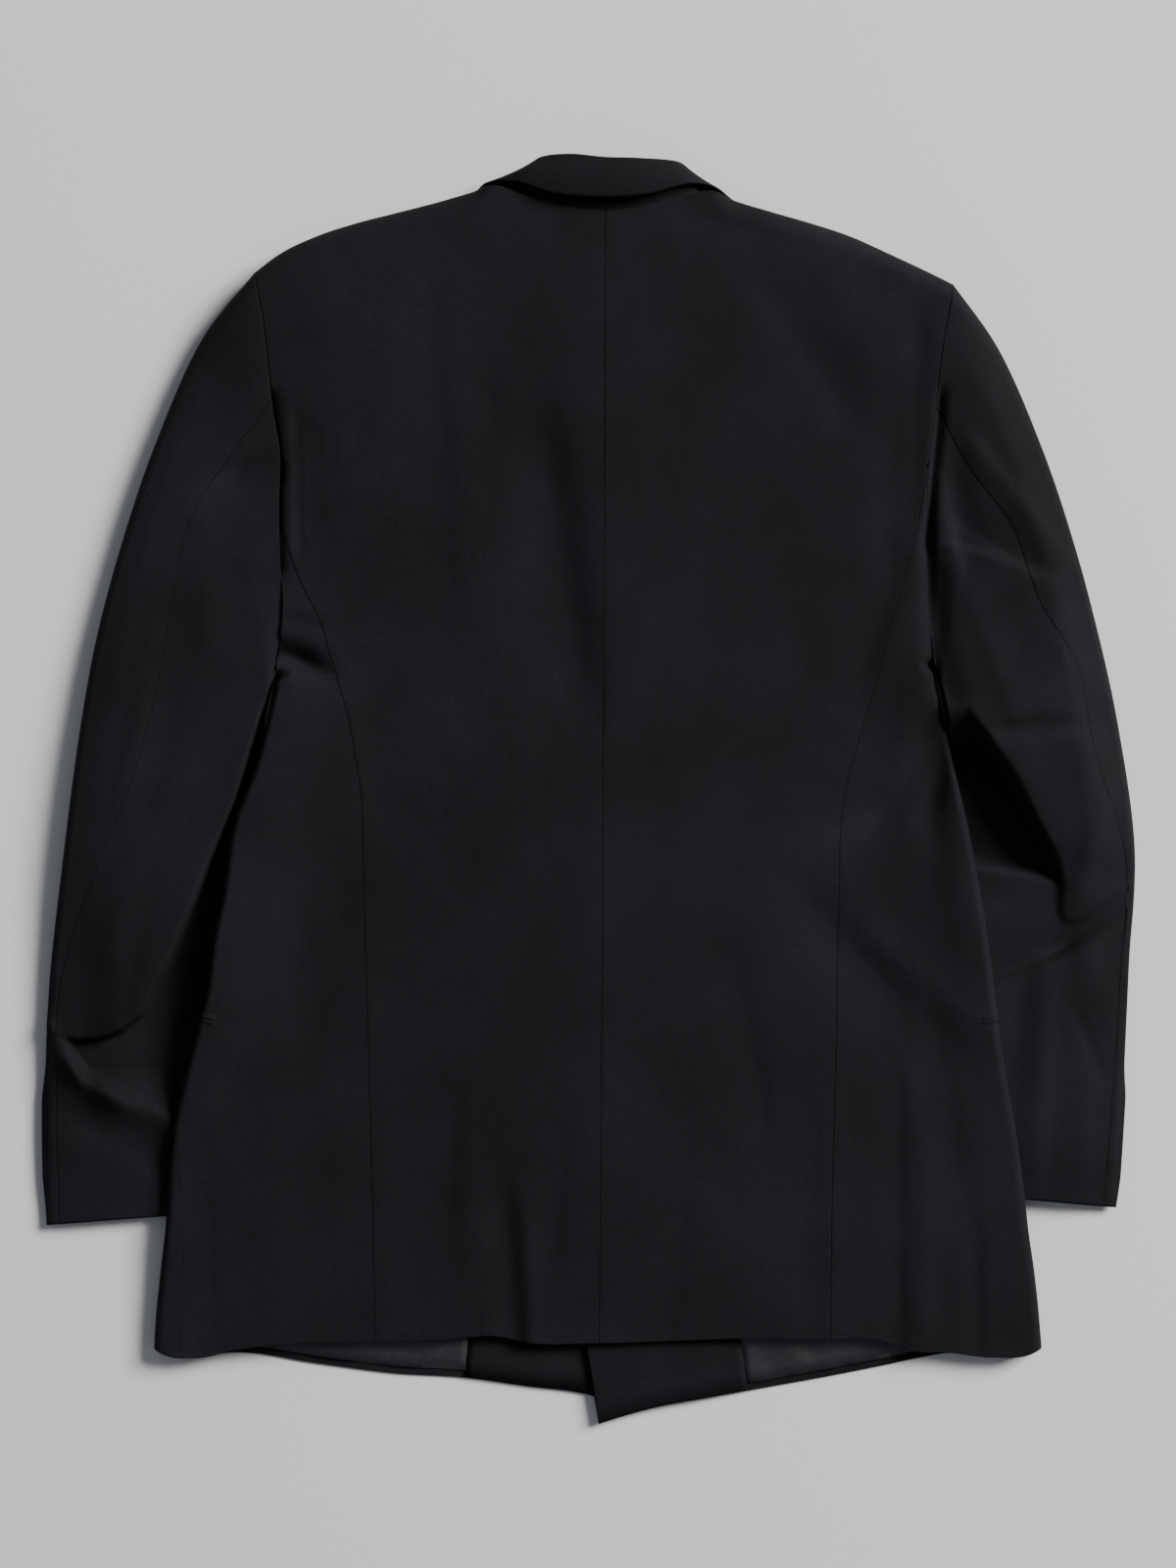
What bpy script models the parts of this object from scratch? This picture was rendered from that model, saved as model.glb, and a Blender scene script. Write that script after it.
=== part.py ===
"""Double-breasted dinner jacket in black wool, laid flat with its back up.

Each piece that is cut and sewn is a shell: a grid of points worked out from the sizes below, given its
thickness by a Solidify modifier. Tables and formulas are in millimetres, and the meshes in metres.
x runs across the jacket, y from the hem to the collar, z up from the surface that it lies on.
In the tables "out" is the distance from x = 0 towards that side.
"""

import math

import bpy
import numpy as np

MM = 0.001

# Cloth
WOOL = 1.5
SATIN = 1.2
LINING = 1.0
SEAM = 0.3
HALF_SEAM = SEAM / 2
SHOULDER_SEAM = 0.7
ARMHOLE_GAP = 0.45
ROUND_GAP = 0.8
EDGE_GAP = 1.0
LEAST_DEPTH = 5.4

# Round edges: how far a fold at the edge reaches inwards
SHOULDER_REACH = 12.0
SIDE_REACH = 5.0
ARC_PER_REACH = 1.25

# Layers under the fronts
CHEST_LIFT = SATIN + 2 * SEAM
BUTTON_LIFT = 3.0
OVERLAP_LIFT = 6.6
HEM_OVERLAP_LIFT = 3.3
SLEEVE_LIFT = 6.3
POCKET_LIFT = 1.6
LOW_SLEEVE = 4.2
CUFF_END = -300.0

# Buttons
FRONT_BUTTON = {"radius": 10.0, "thickness": 2.7, "spacing": 84.0, "rows": (-85.0, -185.0)}
CUFF_BUTTON = {"radius": 7.0, "thickness": 2.4, "inset": 15.0, "rows": (30.0, 47.0, 64.0)}
BUTTON_EDGE = 0.5
BUTTON_SIDES = 12
CUFF_LIFT = 2.7

POCKET = {"y": -155.0, "height": 8.0, "thickness": 1.0, "on_top": 13.0, "underneath": 132.0}
HEM_GAP = {"facing": 1.5, "lining": 5.0}
FACING_INSET = 1.0

# Moves everything so that the origin is under the middle of the whole
CENTRING = (0.95, 2.2, 0.0)


def table(columns, *rows):
    """A table with named columns, as one array for each column."""
    return dict(zip(columns.split(), np.array(rows, float).T))


# Centre back seam
CENTRE = table("y x", (396, 9), (120, 8), (-120, 7), (-380, 5))

# Top edge seen from above: shoulder lines and the neckline between them
TOP_EDGE = table(
    "x y",
    (-229, 351), (-213, 363), (-187, 375.8), (-160, 384.7), (-133, 391.7), (-106, 398.7), (-82, 405.6),
    (-68, 409.5), (-45, 402.5), (-18, 395.2), (9, 392), (38, 396.2), (60, 401.5), (83, 405.6), (96, 400.7),
    (122, 392.7), (149, 384.8), (176, 375.8), (202, 364), (229, 351.3), (246, 343),
)
NECK = {"left": -68.0, "right": 83.0}
NECK_BLEND = 14.0

# Hem of the back and the side panels
BACK_HEM = table(
    "x y",
    (-299, -381.5), (-293, -385), (-268, -388), (-242, -382.5), (-211, -379), (-154, -377), (-100, -375.5),
    (-64, -373.5), (-48, -377), (5, -378), (63, -376), (110, -374.7), (163, -375.4), (191, -375), (204, -378.5),
    (217, -382.8), (243, -384.3), (273, -387.6), (300, -385.2), (307, -381.5),
)

SIDES = {
    "left": {
        "sign": -1,
        "shoulder": (229, 351),
        "underarm": (214.7, 77),
        # The seam where the back meets the sleeve
        "armhole": table(
            "y out", (351, 229), (313, 222), (280, 218.5), (258, 216), (230, 211.5), (189, 212), (150, 211),
            (124, 209.5), (103, 211), (77, 214.7),
        ),
        # The same on the front
        "front_armhole": table(
            "y out", (351, 229), (325, 214), (280, 202), (235, 197), (190, 197), (140, 201), (105, 207),
            (77, 214.7),
        ),
        # Seam between the back and the side panel
        "side_seam": table(
            "y out", (176, 211.3), (160, 205.5), (134, 195), (115, 185), (91, 178), (71, 172), (46, 165), (22, 161),
            (-3, 157), (-33, 156), (-72, 155), (-163, 152.5), (-241, 150.5), (-306, 149), (-390, 148),
        ),
        # Side edge of the body seen from above
        "edge": table(
            "y out", (77, 214.7), (46, 221), (16, 229), (-20, 243), (-75, 252), (-101, 257.5), (-137, 262.5),
            (-160, 268), (-194, 277), (-220, 283), (-241, 286.5), (-292, 289.5), (-359, 297), (-390, 298.8),
        ),
        # Seam between the front and the side panel: its walk from the side edge, on top or, below 0, underneath
        "front_seam": table(
            "y walk", (77, -1), (68, -2), (52, -8), (36, -15), (0, -20), (-100, -16), (-170, -8), (-215, 2),
            (-292, 12), (-349, 18.5), (-390, 19.5),
        ),
        # Front edge: neck, roll line and front edge, as distance towards the left
        "front_edge": table(
            "y x", (411, -68), (388, -55), (360, -47.5), (300, -31), (157, 11.5), (40, 45.5), (-45, 70), (-75, 76),
            (-110, 75), (-250, 57), (-380, 37), (-426, 31),
        ),
        "hem": table(
            "x y", (-299, -382), (-270, -387.5), (-242, -385.5), (-187, -393), (-132, -400), (-89, -402.5),
            (-45, -408.5), (-2, -414.5), (31, -426), (60, -430),
        ),
        # Sleeve: its outer edge, its inner edge under the body and the elbow seam's place across
        "sleeve": table(
            "out_o y_o out_i y_i seam",
            (229, 351, 214.7, 77, 0.317), (266, 305, 218.8, 66, 0.33), (296, 238, 222.6, 48, 0.30),
            (319, 171, 226, 22, 0.35), (337, 104, 231, -12, 0.375), (349, 37, 237, -60, 0.325),
            (360, -47, 241, -118, 0.18), (369.5, -131, 240, -172, 0.06), (373, -215, 234, -230, 0.056),
            (372, -298, 228, -287, 0.056),
        ),
        # Where the sleeve's upper layer drops beside the body, and how high it stands before that
        "drop": table(
            "y out high width",
            (77, 215, 22, 9), (49, 223, 22, 9), (23, 231.5, 21, 9), (-5, 246, 21, 9), (-34, 259, 21, 9),
            (-67, 272, 20, 9), (-106, 285, 20, 9), (-137, 296, 19, 8), (-155, 303, 18, 8), (-166, 318, 14, 12),
            (-180, 312, 11, 16), (-200, 297, 11, 18), (-240, 299, 10, 14), (-300, 302, 8.5, 14),
        ),
    },
    "right": {
        "sign": 1,
        "shoulder": (246, 343),
        "underarm": (233, 83),
        "armhole": table(
            "y out", (343, 246), (325, 242.5), (306, 239), (276, 235.5), (258, 233.5), (222, 229), (175, 228.5),
            (130, 229.5), (100, 231), (83, 233),
        ),
        "front_armhole": table(
            "y out", (343, 246), (318, 231), (275, 218), (232, 213), (190, 213), (142, 217), (110, 224), (83, 233),
        ),
        "side_seam": table(
            "y out", (222, 228.5), (173, 220), (123, 206), (81, 195), (58, 189), (-4, 172), (-77, 168),
            (-158, 166.5), (-281, 163.5), (-390, 162.5),
        ),
        "edge": table(
            "y out", (83, 233), (52, 239), (18, 246), (-20, 255), (-55, 262), (-106, 270.5), (-137, 274.5),
            (-199, 283), (-236, 290), (-267, 294), (-303, 298), (-332, 302.5), (-390, 308),
        ),
        "front_seam": table(
            "y walk", (83, -1), (68, -3), (52, -9), (36, -16), (0, -22), (-150, -20), (-390, -18),
        ),
        "front_edge": table(
            "y x", (407, 83), (386, 71), (358, 63.5), (300, 47.5), (157, 7.5), (40, -24), (-45, -47), (-75, -53),
            (-110, -51), (-250, -29), (-380, -4), (-434, 5),
        ),
        "hem": table(
            "x y", (-30, -446), (5, -434), (24, -428), (47, -422), (81, -416), (110, -411), (155, -403),
            (201, -394), (225, -389), (243, -386), (273, -388.5), (300, -386.5), (308, -382),
        ),
        "sleeve": table(
            "out_o y_o out_i y_i seam",
            (246, 343, 233, 83, 0.32), (279, 297, 237.2, 70, 0.365), (307, 233, 240.9, 50, 0.31),
            (328, 171, 244, 24, 0.295), (346, 104, 247, -12, 0.175), (360, 37, 249, -60, 0.165),
            (371, -47, 250, -112, 0.06), (367, -120, 245, -163, 0.056), (363, -205, 232, -220, 0.056),
            (358, -286, 214, -273, 0.056),
        ),
        "drop": table(
            "y out high width",
            (83, 233, 23, 24), (70, 240, 24, 28), (52, 255, 26, 30), (21, 276, 27, 32), (-26, 300, 27, 30),
            (-52, 312, 24, 30), (-66, 310, 17, 28), (-80, 295, 13, 28), (-110, 285, 13, 28), (-150, 284, 13, 26),
            (-200, 290, 12, 24), (-250, 299, 10, 20), (-290, 304, 8.5, 20),
        ),
    },
}

# Height of the back above the surface, along the centre
BACK_HEIGHT = table(
    "y z", (-395, 10.5), (-350, 13), (-200, 15), (0, 16), (150, 18), (270, 22), (330, 24), (414, 22),
)
SHOULDER_PAD = {"out": 185.0, "y": 325.0, "across": 60.0, "along": 55.0, "height": 4.0}

# The largest folds: a trough, below 0, or a ridge along a line
BODY_FOLDS = table(
    "x0 y0 x1 y1 half_width depth",
    (-22, 215, -15, 90, 9, -5.0),
    (-106, 300, -99, 170, 12, -2.5),
    (130, 322, 168, 262, 14, -3.0),
    (216, 285, 203, 135, 9, -4.0),
    (-194, 106, -178, 100, 9, -2.6),
    (244, 8, 206, -90, 16, -5.5),
    (200, -150, 246, -250, 12, -3.5),
    (-57, -300, -56, -372, 9, -3.5),
    (-176, -83, -208, -115, 12, -2.5),
    (209, -220, 212, -375, 9, -3.0),
)
SLEEVE_FOLDS = table(
    "x0 y0 x1 y1 half_width depth",
    (235, 240, 274, 162, 9, -5.0),
    (262, 232, 330, 152, 9, 4.0),
    (-217, 230, -250, 210, 9, -3.0),
    (-368, -160, -290, -228, 10, 4.0),
    (300, -130, 306, -250, 10, 3.0),
)

# Rows of the grids: parts of the armhole's depth, then heights down to the hem
ARM_ROWS = (0.12, 0.22, 0.33, 0.45, 0.57, 0.69, 0.80, 0.90, 0.96, 1.0)
LOWER_ROWS = (68, 52, 36, 10, -25, -62, -100, -128, -149, -161, -190, -225, -260, -295, -330, -358)
# Walks of the columns that round a side edge, and the first one past it on the front
EDGE_WALKS = (9.0, 5.5, 2.0, -2.0, -5.5, -9.0)
PAST_EDGE = -26.0
LEAST_WALK = 0.4
# How far a panel's corner turns inwards at the underarm, as a part of the way to the edge
CORNER_DIP = 0.72
# Stations along a sleeve, and places across it: the end of the outer edge, the first column past the elbow
# seam that the under sleeve shares with the armhole's rows, and the seam underneath
STATIONS = 20
CUFF_WIDTH = 145.0
SEAM_LIMIT = 0.05
PAST_SEAM = 0.44
INNER_SEAM = 0.85
FRONT_COLUMNS = (0.10, 0.22, 0.35, 0.48, 0.62, 0.75, 0.88, 1.0)
FACING_COLUMN = 4
POCKET_ROW = -149
INNER_ROW = -260
LAST_ROW = -380.0

# Collar, from the left front round the back of the neck to the right front: the fold (f) and the free edge (e)
# of its fall, and the fold and the neck seam (n) of its stand
FALL = table(
    "fx fy fz ex ey ez",
    (-45, 352, 0.1, -93, 362, 0.1), (-47, 384, 0.1, -93, 386, 0.1), (-44, 405, 1.2, -86, 400.5, 0.6),
    (-43.5, 415.5, 7, -79, 409, 6), (-42.5, 422.5, 15, -69.5, 413, 14), (-34, 428.5, 25, -50, 411, 27.5),
    (-14, 429.6, 34, -25, 402.5, 34), (9, 427.2, 37.5, 7, 399.8, 36.5), (32, 426.6, 35.5, 38, 402, 35.5),
    (57, 425.4, 26.5, 65, 409.5, 29), (65, 421.5, 15, 84, 411, 14), (62, 414.5, 7, 94, 406.5, 6),
    (60, 404, 1.2, 102, 398.5, 0.6), (63, 382, 0.1, 109, 384, 0.1), (61, 350, 0.1, 109, 360, 0.1),
)
STAND = table(
    "fx fy fz nx ny nz",
    (-44.4, 352, 0.3, -44.8, 354, 3.6), (-46.3, 384, 0.3, -47.1, 386, 4.2), (-43, 405, 3.2, -50, 406.5, 8),
    (-42.3, 413, 8.5, -56, 410.5, 12), (-41.3, 419.5, 15, -57, 411, 16.5), (-33.5, 426, 22.3, -45, 403.8, 22.6),
    (-14, 427.6, 31.3, -18, 396.4, 23.6), (9, 425.2, 34.8, 9, 393.1, 24), (32, 424.6, 32.8, 36, 397.2, 23.6),
    (56.5, 423, 23.8, 61, 403, 22.6), (64, 418.5, 15, 72, 410.5, 16.5), (61, 412, 8.5, 71.5, 409, 12),
    (59, 404, 3.2, 66, 406, 8), (62.3, 382, 0.3, 63.1, 384, 4.2), (60.4, 350, 0.3, 60.8, 352, 3.6),
)
COLLAR_CROWN = 2.5

# Lapels: the roll line and the outer edge, from the lower end up to the gorge and the peak
LAPEL = table(
    "along width lean",
    (0.00, 3, 0), (0.12, 30, 0), (0.30, 56, 0), (0.50, 76, 0), (0.70, 90, 0), (0.86, 99, 2), (1.00, 102, 24),
)
LAPEL_ENDS = {
    "left": {"low": (73.5, -60.0), "high": (-45.5, 349.0)},
    "right": {"low": (-50.0, -60.0), "high": (61.5, 347.0)},
}


def through(at, knots, values):
    """A smooth curve through a table's rows: a cubic between each two, with slopes from their neighbours."""
    order = np.argsort(knots)
    knots, values = knots[order], values[order]
    slopes = np.gradient(values, knots)
    at = np.clip(at, knots[0], knots[-1])
    i = np.clip(np.searchsorted(knots, at) - 1, 0, len(knots) - 2)
    span = knots[i + 1] - knots[i]
    t = (at - knots[i]) / span
    return (
        (2 * t**3 - 3 * t**2 + 1) * values[i]
        + (t**3 - 2 * t**2 + t) * span * slopes[i]
        + (3 * t**2 - 2 * t**3) * values[i + 1]
        + (t**3 - t**2) * span * slopes[i + 1]
    )


def ease(x, start, end):
    """0 before start, 1 after end, smooth between."""
    t = np.clip((x - start) / (end - start), 0, 1)
    return t * t * (3 - 2 * t)


def rim(walk, reach):
    """Walking round an edge: how far inside it a point is, and its level from -1 underneath to 1 on top."""
    quarter = ARC_PER_REACH * reach
    turn = np.clip(walk / quarter, -1, 1) * np.pi / 2
    inset = reach * (1 - np.cos(turn)) + np.maximum(np.abs(walk) - quarter, 0)
    return inset, np.sin(turn)


def walk_of(inset, reach):
    """The walk on top from an edge to a point this far inside it."""
    inset = np.maximum(inset, 0)
    near = np.arccos(1 - np.minimum(inset / reach, 1)) * 2 / np.pi
    return ARC_PER_REACH * reach * near + np.maximum(inset - reach, 0)


def folds(rows, x, y):
    """The sum of troughs and ridges: each is a bell across its line that fades past the line's ends."""
    total = np.zeros(np.broadcast(x, y).shape)
    for x0, y0, x1, y1, half_width, depth in zip(*rows.values()):
        run = np.array([x1 - x0, y1 - y0])
        length = math.hypot(*run)
        along = ((x - x0) * run[0] + (y - y0) * run[1]) / length
        beyond = np.maximum(np.maximum(-along, along - length), 0)
        across = ((y - y0) * run[0] - (x - x0) * run[1]) / length
        total = total + depth * np.exp(-((across / half_width) ** 2) - (beyond / (2 * half_width)) ** 2)
    return total


def back_height(x, y):
    """Height of the body's upper side, which is higher at the padded shoulders, with folds."""
    middle = through(y, CENTRE["y"], CENTRE["x"])
    pad = SHOULDER_PAD["height"] * np.exp(
        -(((np.abs(x - middle) - SHOULDER_PAD["out"]) / SHOULDER_PAD["across"]) ** 2)
        - ((y - SHOULDER_PAD["y"]) / SHOULDER_PAD["along"]) ** 2
    )
    return through(y, BACK_HEIGHT["y"], BACK_HEIGHT["z"]) + pad + folds(BODY_FOLDS, x, y)


def front_edge(side, y):
    return through(y, side["front_edge"]["y"], side["front_edge"]["x"])


def sleeve_below(side, x, y):
    """How far the body is lifted off the surface by the forearm that lies under its side."""
    out = side["sign"] * x
    inner = through(y, side["sleeve"]["y_i"], side["sleeve"]["out_i"])
    top = side["underarm"][1]
    forearm = ease(-y, -top, -top + 30) * ease(y, CUFF_END - 45, CUFF_END - 5)
    return SLEEVE_LIFT * ease(out, inner - 62, inner - 22) * forearm


def pocket_below(side, x, y):
    out = side["sign"] * x
    near = 1 - ease(np.abs(y - POCKET["y"]), 22, 48)
    return POCKET_LIFT * near * ease(out, 90, 118)


def left_lift(x, y):
    """Height of the left front's outer side: it lies over its lapel, its buttons and the left forearm."""
    chest = CHEST_LIFT * ease(y, -150, -100)
    buttons = BUTTON_LIFT * ease(x, -100, -72) * ease(y, -242, -212) * (1 - ease(y, -45, -15))
    side = SIDES["left"]
    return np.maximum.reduce([chest, buttons, sleeve_below(side, x, y), pocket_below(side, x, y)])


def over_left(x, y):
    """1 where the right front lies over the left one, 0 well past the left front's edge."""
    edge = front_edge(SIDES["left"], y)
    return 1 - ease(x, edge + 26, edge + 92)


def right_lift(x, y):
    """The same for the right front, which also lies over the left one."""
    side = SIDES["right"]
    chest = CHEST_LIFT * ease(y, -150, -100)
    alone = np.maximum.reduce([chest, sleeve_below(side, x, y), pocket_below(side, x, y)])
    above = HEM_OVERLAP_LIFT + (OVERLAP_LIFT - HEM_OVERLAP_LIFT) * ease(y, -330, -250)
    return alone + (above - alone) * over_left(x, y)


LIFT = {"left": left_lift, "right": right_lift}


def body_point(name, x, y, level):
    """A point of the body's surface, with level 1 on the upper side and -1 on the lower side."""
    low = LIFT[name](x, y)
    high = np.maximum(back_height(x, y), low + LEAST_DEPTH)
    return np.stack([x, y, low + (high - low) * (1 + level) / 2], axis=-1)


def row_heights(side):
    """(drop, level) of each row below the shoulder: round its edge, down the armhole, then to the hem."""
    walks = np.linspace(SHOULDER_SEAM, ARC_PER_REACH * SHOULDER_REACH, 4)
    inset, level = rim(walks, SHOULDER_REACH)
    depth = side["shoulder"][1] - side["underarm"][1]
    arm = np.array(ARM_ROWS) * depth
    lower = side["shoulder"][1] - np.array(LOWER_ROWS + (LAST_ROW,))
    drops = np.concatenate([inset, arm, lower])
    return drops, np.concatenate([level, np.ones(len(arm) + len(lower))])


def spread(side, drops, top, hem):
    """Heights of the rows in a column: from its top edge to the underarm's height, and on to its hem."""
    arm = side["underarm"][1]
    depth = side["shoulder"][1] - arm
    above = top - drops / depth * (top - arm)
    below = arm - (drops - depth) / (arm - LAST_ROW) * (arm - hem)
    return np.where(drops <= depth, above, below)


def settle(side, across, drops):
    """Rows run from the top edge to the hem and columns between two seams, and each depends on the other."""
    y = side["shoulder"][1] - drops
    x = across(y)
    for _ in range(6):
        y = spread(side, drops, on_top_edge(x[:1]), on_back_hem(x[-1:]))
        x = across(y)
    return x, y


def on_top_edge(x):
    return through(x, TOP_EDGE["x"], TOP_EDGE["y"])


def on_back_hem(x):
    return through(x, BACK_HEM["x"], BACK_HEM["y"])


def shoulder_level(name, x, level, open_level):
    """The round edge ends at the neck, where the pieces are open for the collar."""
    sign = SIDES[name]["sign"]
    inside = sign * (NECK[name] - x)
    opened = ease(inside, -NECK_BLEND, 0)
    return level + (open_level - level) * opened


def back_outline(side, y):
    """The back's outer seam: the armhole, then the side seam."""
    start = side["side_seam"]["y"][0]
    arm = through(y, side["armhole"]["y"], side["armhole"]["out"])
    seam = through(y, side["side_seam"]["y"], side["side_seam"]["out"])
    return np.where(y > start, arm, np.minimum(arm, seam))


def back_grid(name, columns=12):
    side = SIDES[name]
    drops, levels = row_heights(side)
    u = np.linspace(0, 1, columns)[None, :]

    def across(y):
        centre = through(y, CENTRE["y"], CENTRE["x"]) + side["sign"] * HALF_SEAM
        outer = side["sign"] * (back_outline(side, y) - HALF_SEAM)
        return centre + (outer - centre) * u

    x, y = settle(side, across, drops[:, None])
    level = shoulder_level(name, x, levels[:, None], 1.0)
    return body_point(name, x, y, level)


def edge_gap(walk):
    """Half the gap at the front's seam: wider where it runs along the tight side edge."""
    return HALF_SEAM + EDGE_GAP * (1 - ease(np.abs(walk), 5, 10))


def side_walks(side, y):
    """Walks from the side edge of the side panel's two seams."""
    edge = through(y, side["edge"]["y"], side["edge"]["out"])
    arm = through(y, side["armhole"]["y"], side["armhole"]["out"])
    back = back_outline(side, y) + HALF_SEAM
    front = through(y, side["front_seam"]["y"], side["front_seam"]["walk"])
    front = front + edge_gap(front)
    inner = walk_of(edge - back, SIDE_REACH)
    return edge, arm, inner, front


def side_grid(name, flat_columns=4):
    """The side panel, from the back's seam to the side edge and round it to the front's seam."""
    side = SIDES[name]
    drops, _ = row_heights(side)
    first = int(np.argmax(side["shoulder"][1] - drops < side["side_seam"]["y"][0] - 12))
    drops = drops[first:]
    flat = np.linspace(0, 1, flat_columns)[None, :-1]
    walks = np.array(EDGE_WALKS)[None, :]
    u = np.linspace(0, 1, flat_columns + walks.size)[None, :]
    spare = LEAST_WALK * np.arange(walks.size, 0, -1)[None, :]
    y = (side["shoulder"][1] - drops)[:, None] + 0 * u
    for _ in range(6):
        edge, arm, inner, front = side_walks(side, y)
        under = y < side["underarm"][1] - 0.5
        start, end = inner[:, :1], front[:, -1:]
        rounded = np.maximum(walks, end + spare)
        level_part = start + (rounded[:, :1] - start) * flat
        inset, level = rim(np.concatenate([level_part, rounded, end], axis=1), SIDE_REACH)
        back = back_outline(side, y) + HALF_SEAM
        out = np.where(under, edge - inset, back + (arm - HALF_SEAM - back) * u)
        corner = ease(u, 0.7, 1.0) * near_underarm(side, y)
        level = np.where(under, level, 1 - CORNER_DIP * corner)
        x = side["sign"] * out
        y = spread(side, drops[:, None], side["shoulder"][1], on_back_hem(x[-1:]))
    return body_point(name, x, y, level)


def near_underarm(side, y):
    """1 at the underarm's height, 0 from 6 mm above it."""
    return 1 - ease(y, side["underarm"][1], side["underarm"][1] + 6)


def front_grid(name):
    """The front, from its seam with the side panel to its own front edge."""
    side = SIDES[name]
    sign = side["sign"]
    drops, levels = row_heights(side)
    past_seam = np.array(EDGE_WALKS + (PAST_EDGE,))[None, :]
    wrap_columns = past_seam.size + 1
    spare = LEAST_WALK * np.arange(1, wrap_columns)[None, :]
    wrap = np.linspace(0, 1, wrap_columns)[None, :]
    columns = len(FRONT_COLUMNS)
    u = np.array(FRONT_COLUMNS)[None, :]
    y = (side["shoulder"][1] - drops)[:, None] + np.zeros((1, wrap_columns + columns))
    for _ in range(8):
        edge = through(y, side["edge"]["y"], side["edge"]["out"])
        arm = through(y, side["front_armhole"]["y"], side["front_armhole"]["out"]) - HALF_SEAM
        seam = through(y, side["front_seam"]["y"], side["front_seam"]["walk"])
        seam = seam - edge_gap(seam)
        walks = np.concatenate([seam[:, :1], np.minimum(past_seam, seam[:, :1] - spare)], axis=1)
        inset, level_wrap = rim(walks, SIDE_REACH)
        under = y < side["underarm"][1] - 0.5
        wrapped = edge[:, :wrap_columns] - inset
        plain = arm[:, :wrap_columns] - 18.0 * wrap
        start = np.where(under[:, :wrap_columns], wrapped, plain)
        last = sign * start[:, -1:]
        inner = front_edge(side, y[:, wrap_columns:])
        x = np.concatenate([sign * start, last + (inner - last) * u], axis=1)
        corner = (1 - ease(wrap, 0, 0.3)) * near_underarm(side, y[:, :wrap_columns])
        level_wrap = np.where(under[:, :wrap_columns], level_wrap, CORNER_DIP * corner - 1.0)
        level = np.concatenate([level_wrap, -np.ones((len(y), columns))], axis=1)
        hem_front = through(x[-1:], side["hem"]["x"], side["hem"]["y"])
        hem = np.where(level[-1:] > -0.5, on_back_hem(x[-1:]), hem_front)
        top = on_top_edge(x[:1])
        y = spread(side, drops[:, None], top, hem)
    rounded = -levels[:, None] + 0 * x
    level = np.where(drops[:, None] < SHOULDER_REACH, rounded, level)
    return body_point(name, x, y, level)


def row_at(side, height):
    """The row of the body's grids that is named by its height."""
    return 4 + len(ARM_ROWS) + LOWER_ROWS.index(height)


def inner_grid(name, front, piece):
    """The facing or the lining inside a front's hem, made from the front's points and moved inwards."""
    split = front.shape[1] - len(FRONT_COLUMNS) + FACING_COLUMN
    part = front[row_at(SIDES[name], INNER_ROW):].copy()
    hem_gap = HEM_GAP[piece]
    last = part[-1] - part[-2]
    part[-1] -= last * (hem_gap / np.abs(last[:, 1:2]))
    if piece == "facing":
        part = part[:, split:]
        edge = part[:, -1] - part[:, -2]
        part[:, -1] -= edge * (FACING_INSET / np.abs(edge[:, :1]))
        nudge = part[:, 1] - part[:, 0]
        part[:, 0] += nudge * (HALF_SEAM / np.abs(nudge[:, :1]))
    else:
        part = part[:, split - FACING_COLUMN - 1 : split + 1]
        nudge = part[:, -1] - part[:, -2]
        part[:, -1] -= nudge * (HALF_SEAM / np.abs(nudge[:, :1]))
    part[..., 2] += WOOL + SEAM + LINING
    return part


def sleeve_columns(side):
    """For each column round the sleeve: its armhole point, its place across the sleeve, and its level."""
    drops, levels = row_heights(side)
    depth = side["shoulder"][1] - side["underarm"][1]
    arm = drops <= depth + 0.01
    drops, levels = drops[arm], levels[arm]
    return drops / depth, levels


def sleeve_height(side, x, y):
    """Height of the sleeve's upper side: full, then a drop where the body's side lies over it."""
    rows = side["drop"]
    out = side["sign"] * x
    at = np.minimum(y, side["underarm"][1])
    line = through(at, rows["y"], rows["out"])
    high = through(at, rows["y"], rows["high"])
    width = through(at, rows["y"], rows["width"])
    high = high + folds(SLEEVE_FOLDS, x, y)
    dropped = LOW_SLEEVE + (high - LOW_SLEEVE) * ease(out - line, 0, width)
    below = ease(-y, -side["underarm"][1] - 25, -side["underarm"][1] + 25)
    return high + (dropped - high) * below


def sleeve_point(name, v, across, level):
    """A point of the sleeve: v from the armhole to the cuff, across from the outer to the inner edge."""
    side = SIDES[name]
    rows = side["sleeve"]
    knots = np.linspace(0, 1, len(rows["out_o"]))
    outer = np.stack([through(v, knots, rows["out_o"]), through(v, knots, rows["y_o"])], axis=-1)
    inner = np.stack([through(v, knots, rows["out_i"]), through(v, knots, rows["y_i"])], axis=-1)
    flat = outer + (inner - outer) * across[..., None]
    start_y = side["shoulder"][1] + (side["underarm"][1] - side["shoulder"][1]) * across
    chord = side["shoulder"][0] + (side["underarm"][0] - side["shoulder"][0]) * across
    hole = np.where(
        level > 0,
        through(start_y, side["armhole"]["y"], side["armhole"]["out"]),
        through(start_y, side["front_armhole"]["y"], side["front_armhole"]["out"]),
    )
    fade = 1 - ease(v, 0, 0.28)
    gap = ARMHOLE_GAP + ROUND_GAP * (1 - np.abs(level))
    out = flat[..., 0] + (hole - chord) * fade + gap * (v < 1e-6)
    x, y = side["sign"] * out, flat[..., 1]
    at_hole = body_point(name, side["sign"] * hole, start_y, level)[..., 2]
    cuff = CUFF_LIFT * ease(v, 0.72, 0.80) * (1 - ease(across, 0.3, 0.62))
    high = np.maximum(sleeve_height(side, x, y), cuff + LOW_SLEEVE)
    own = cuff + (high - cuff) * (1 + level) / 2
    near = 1 - ease(v, 0, 0.14)
    return np.stack([x, y, own + (at_hole - own) * near], axis=-1)


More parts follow.
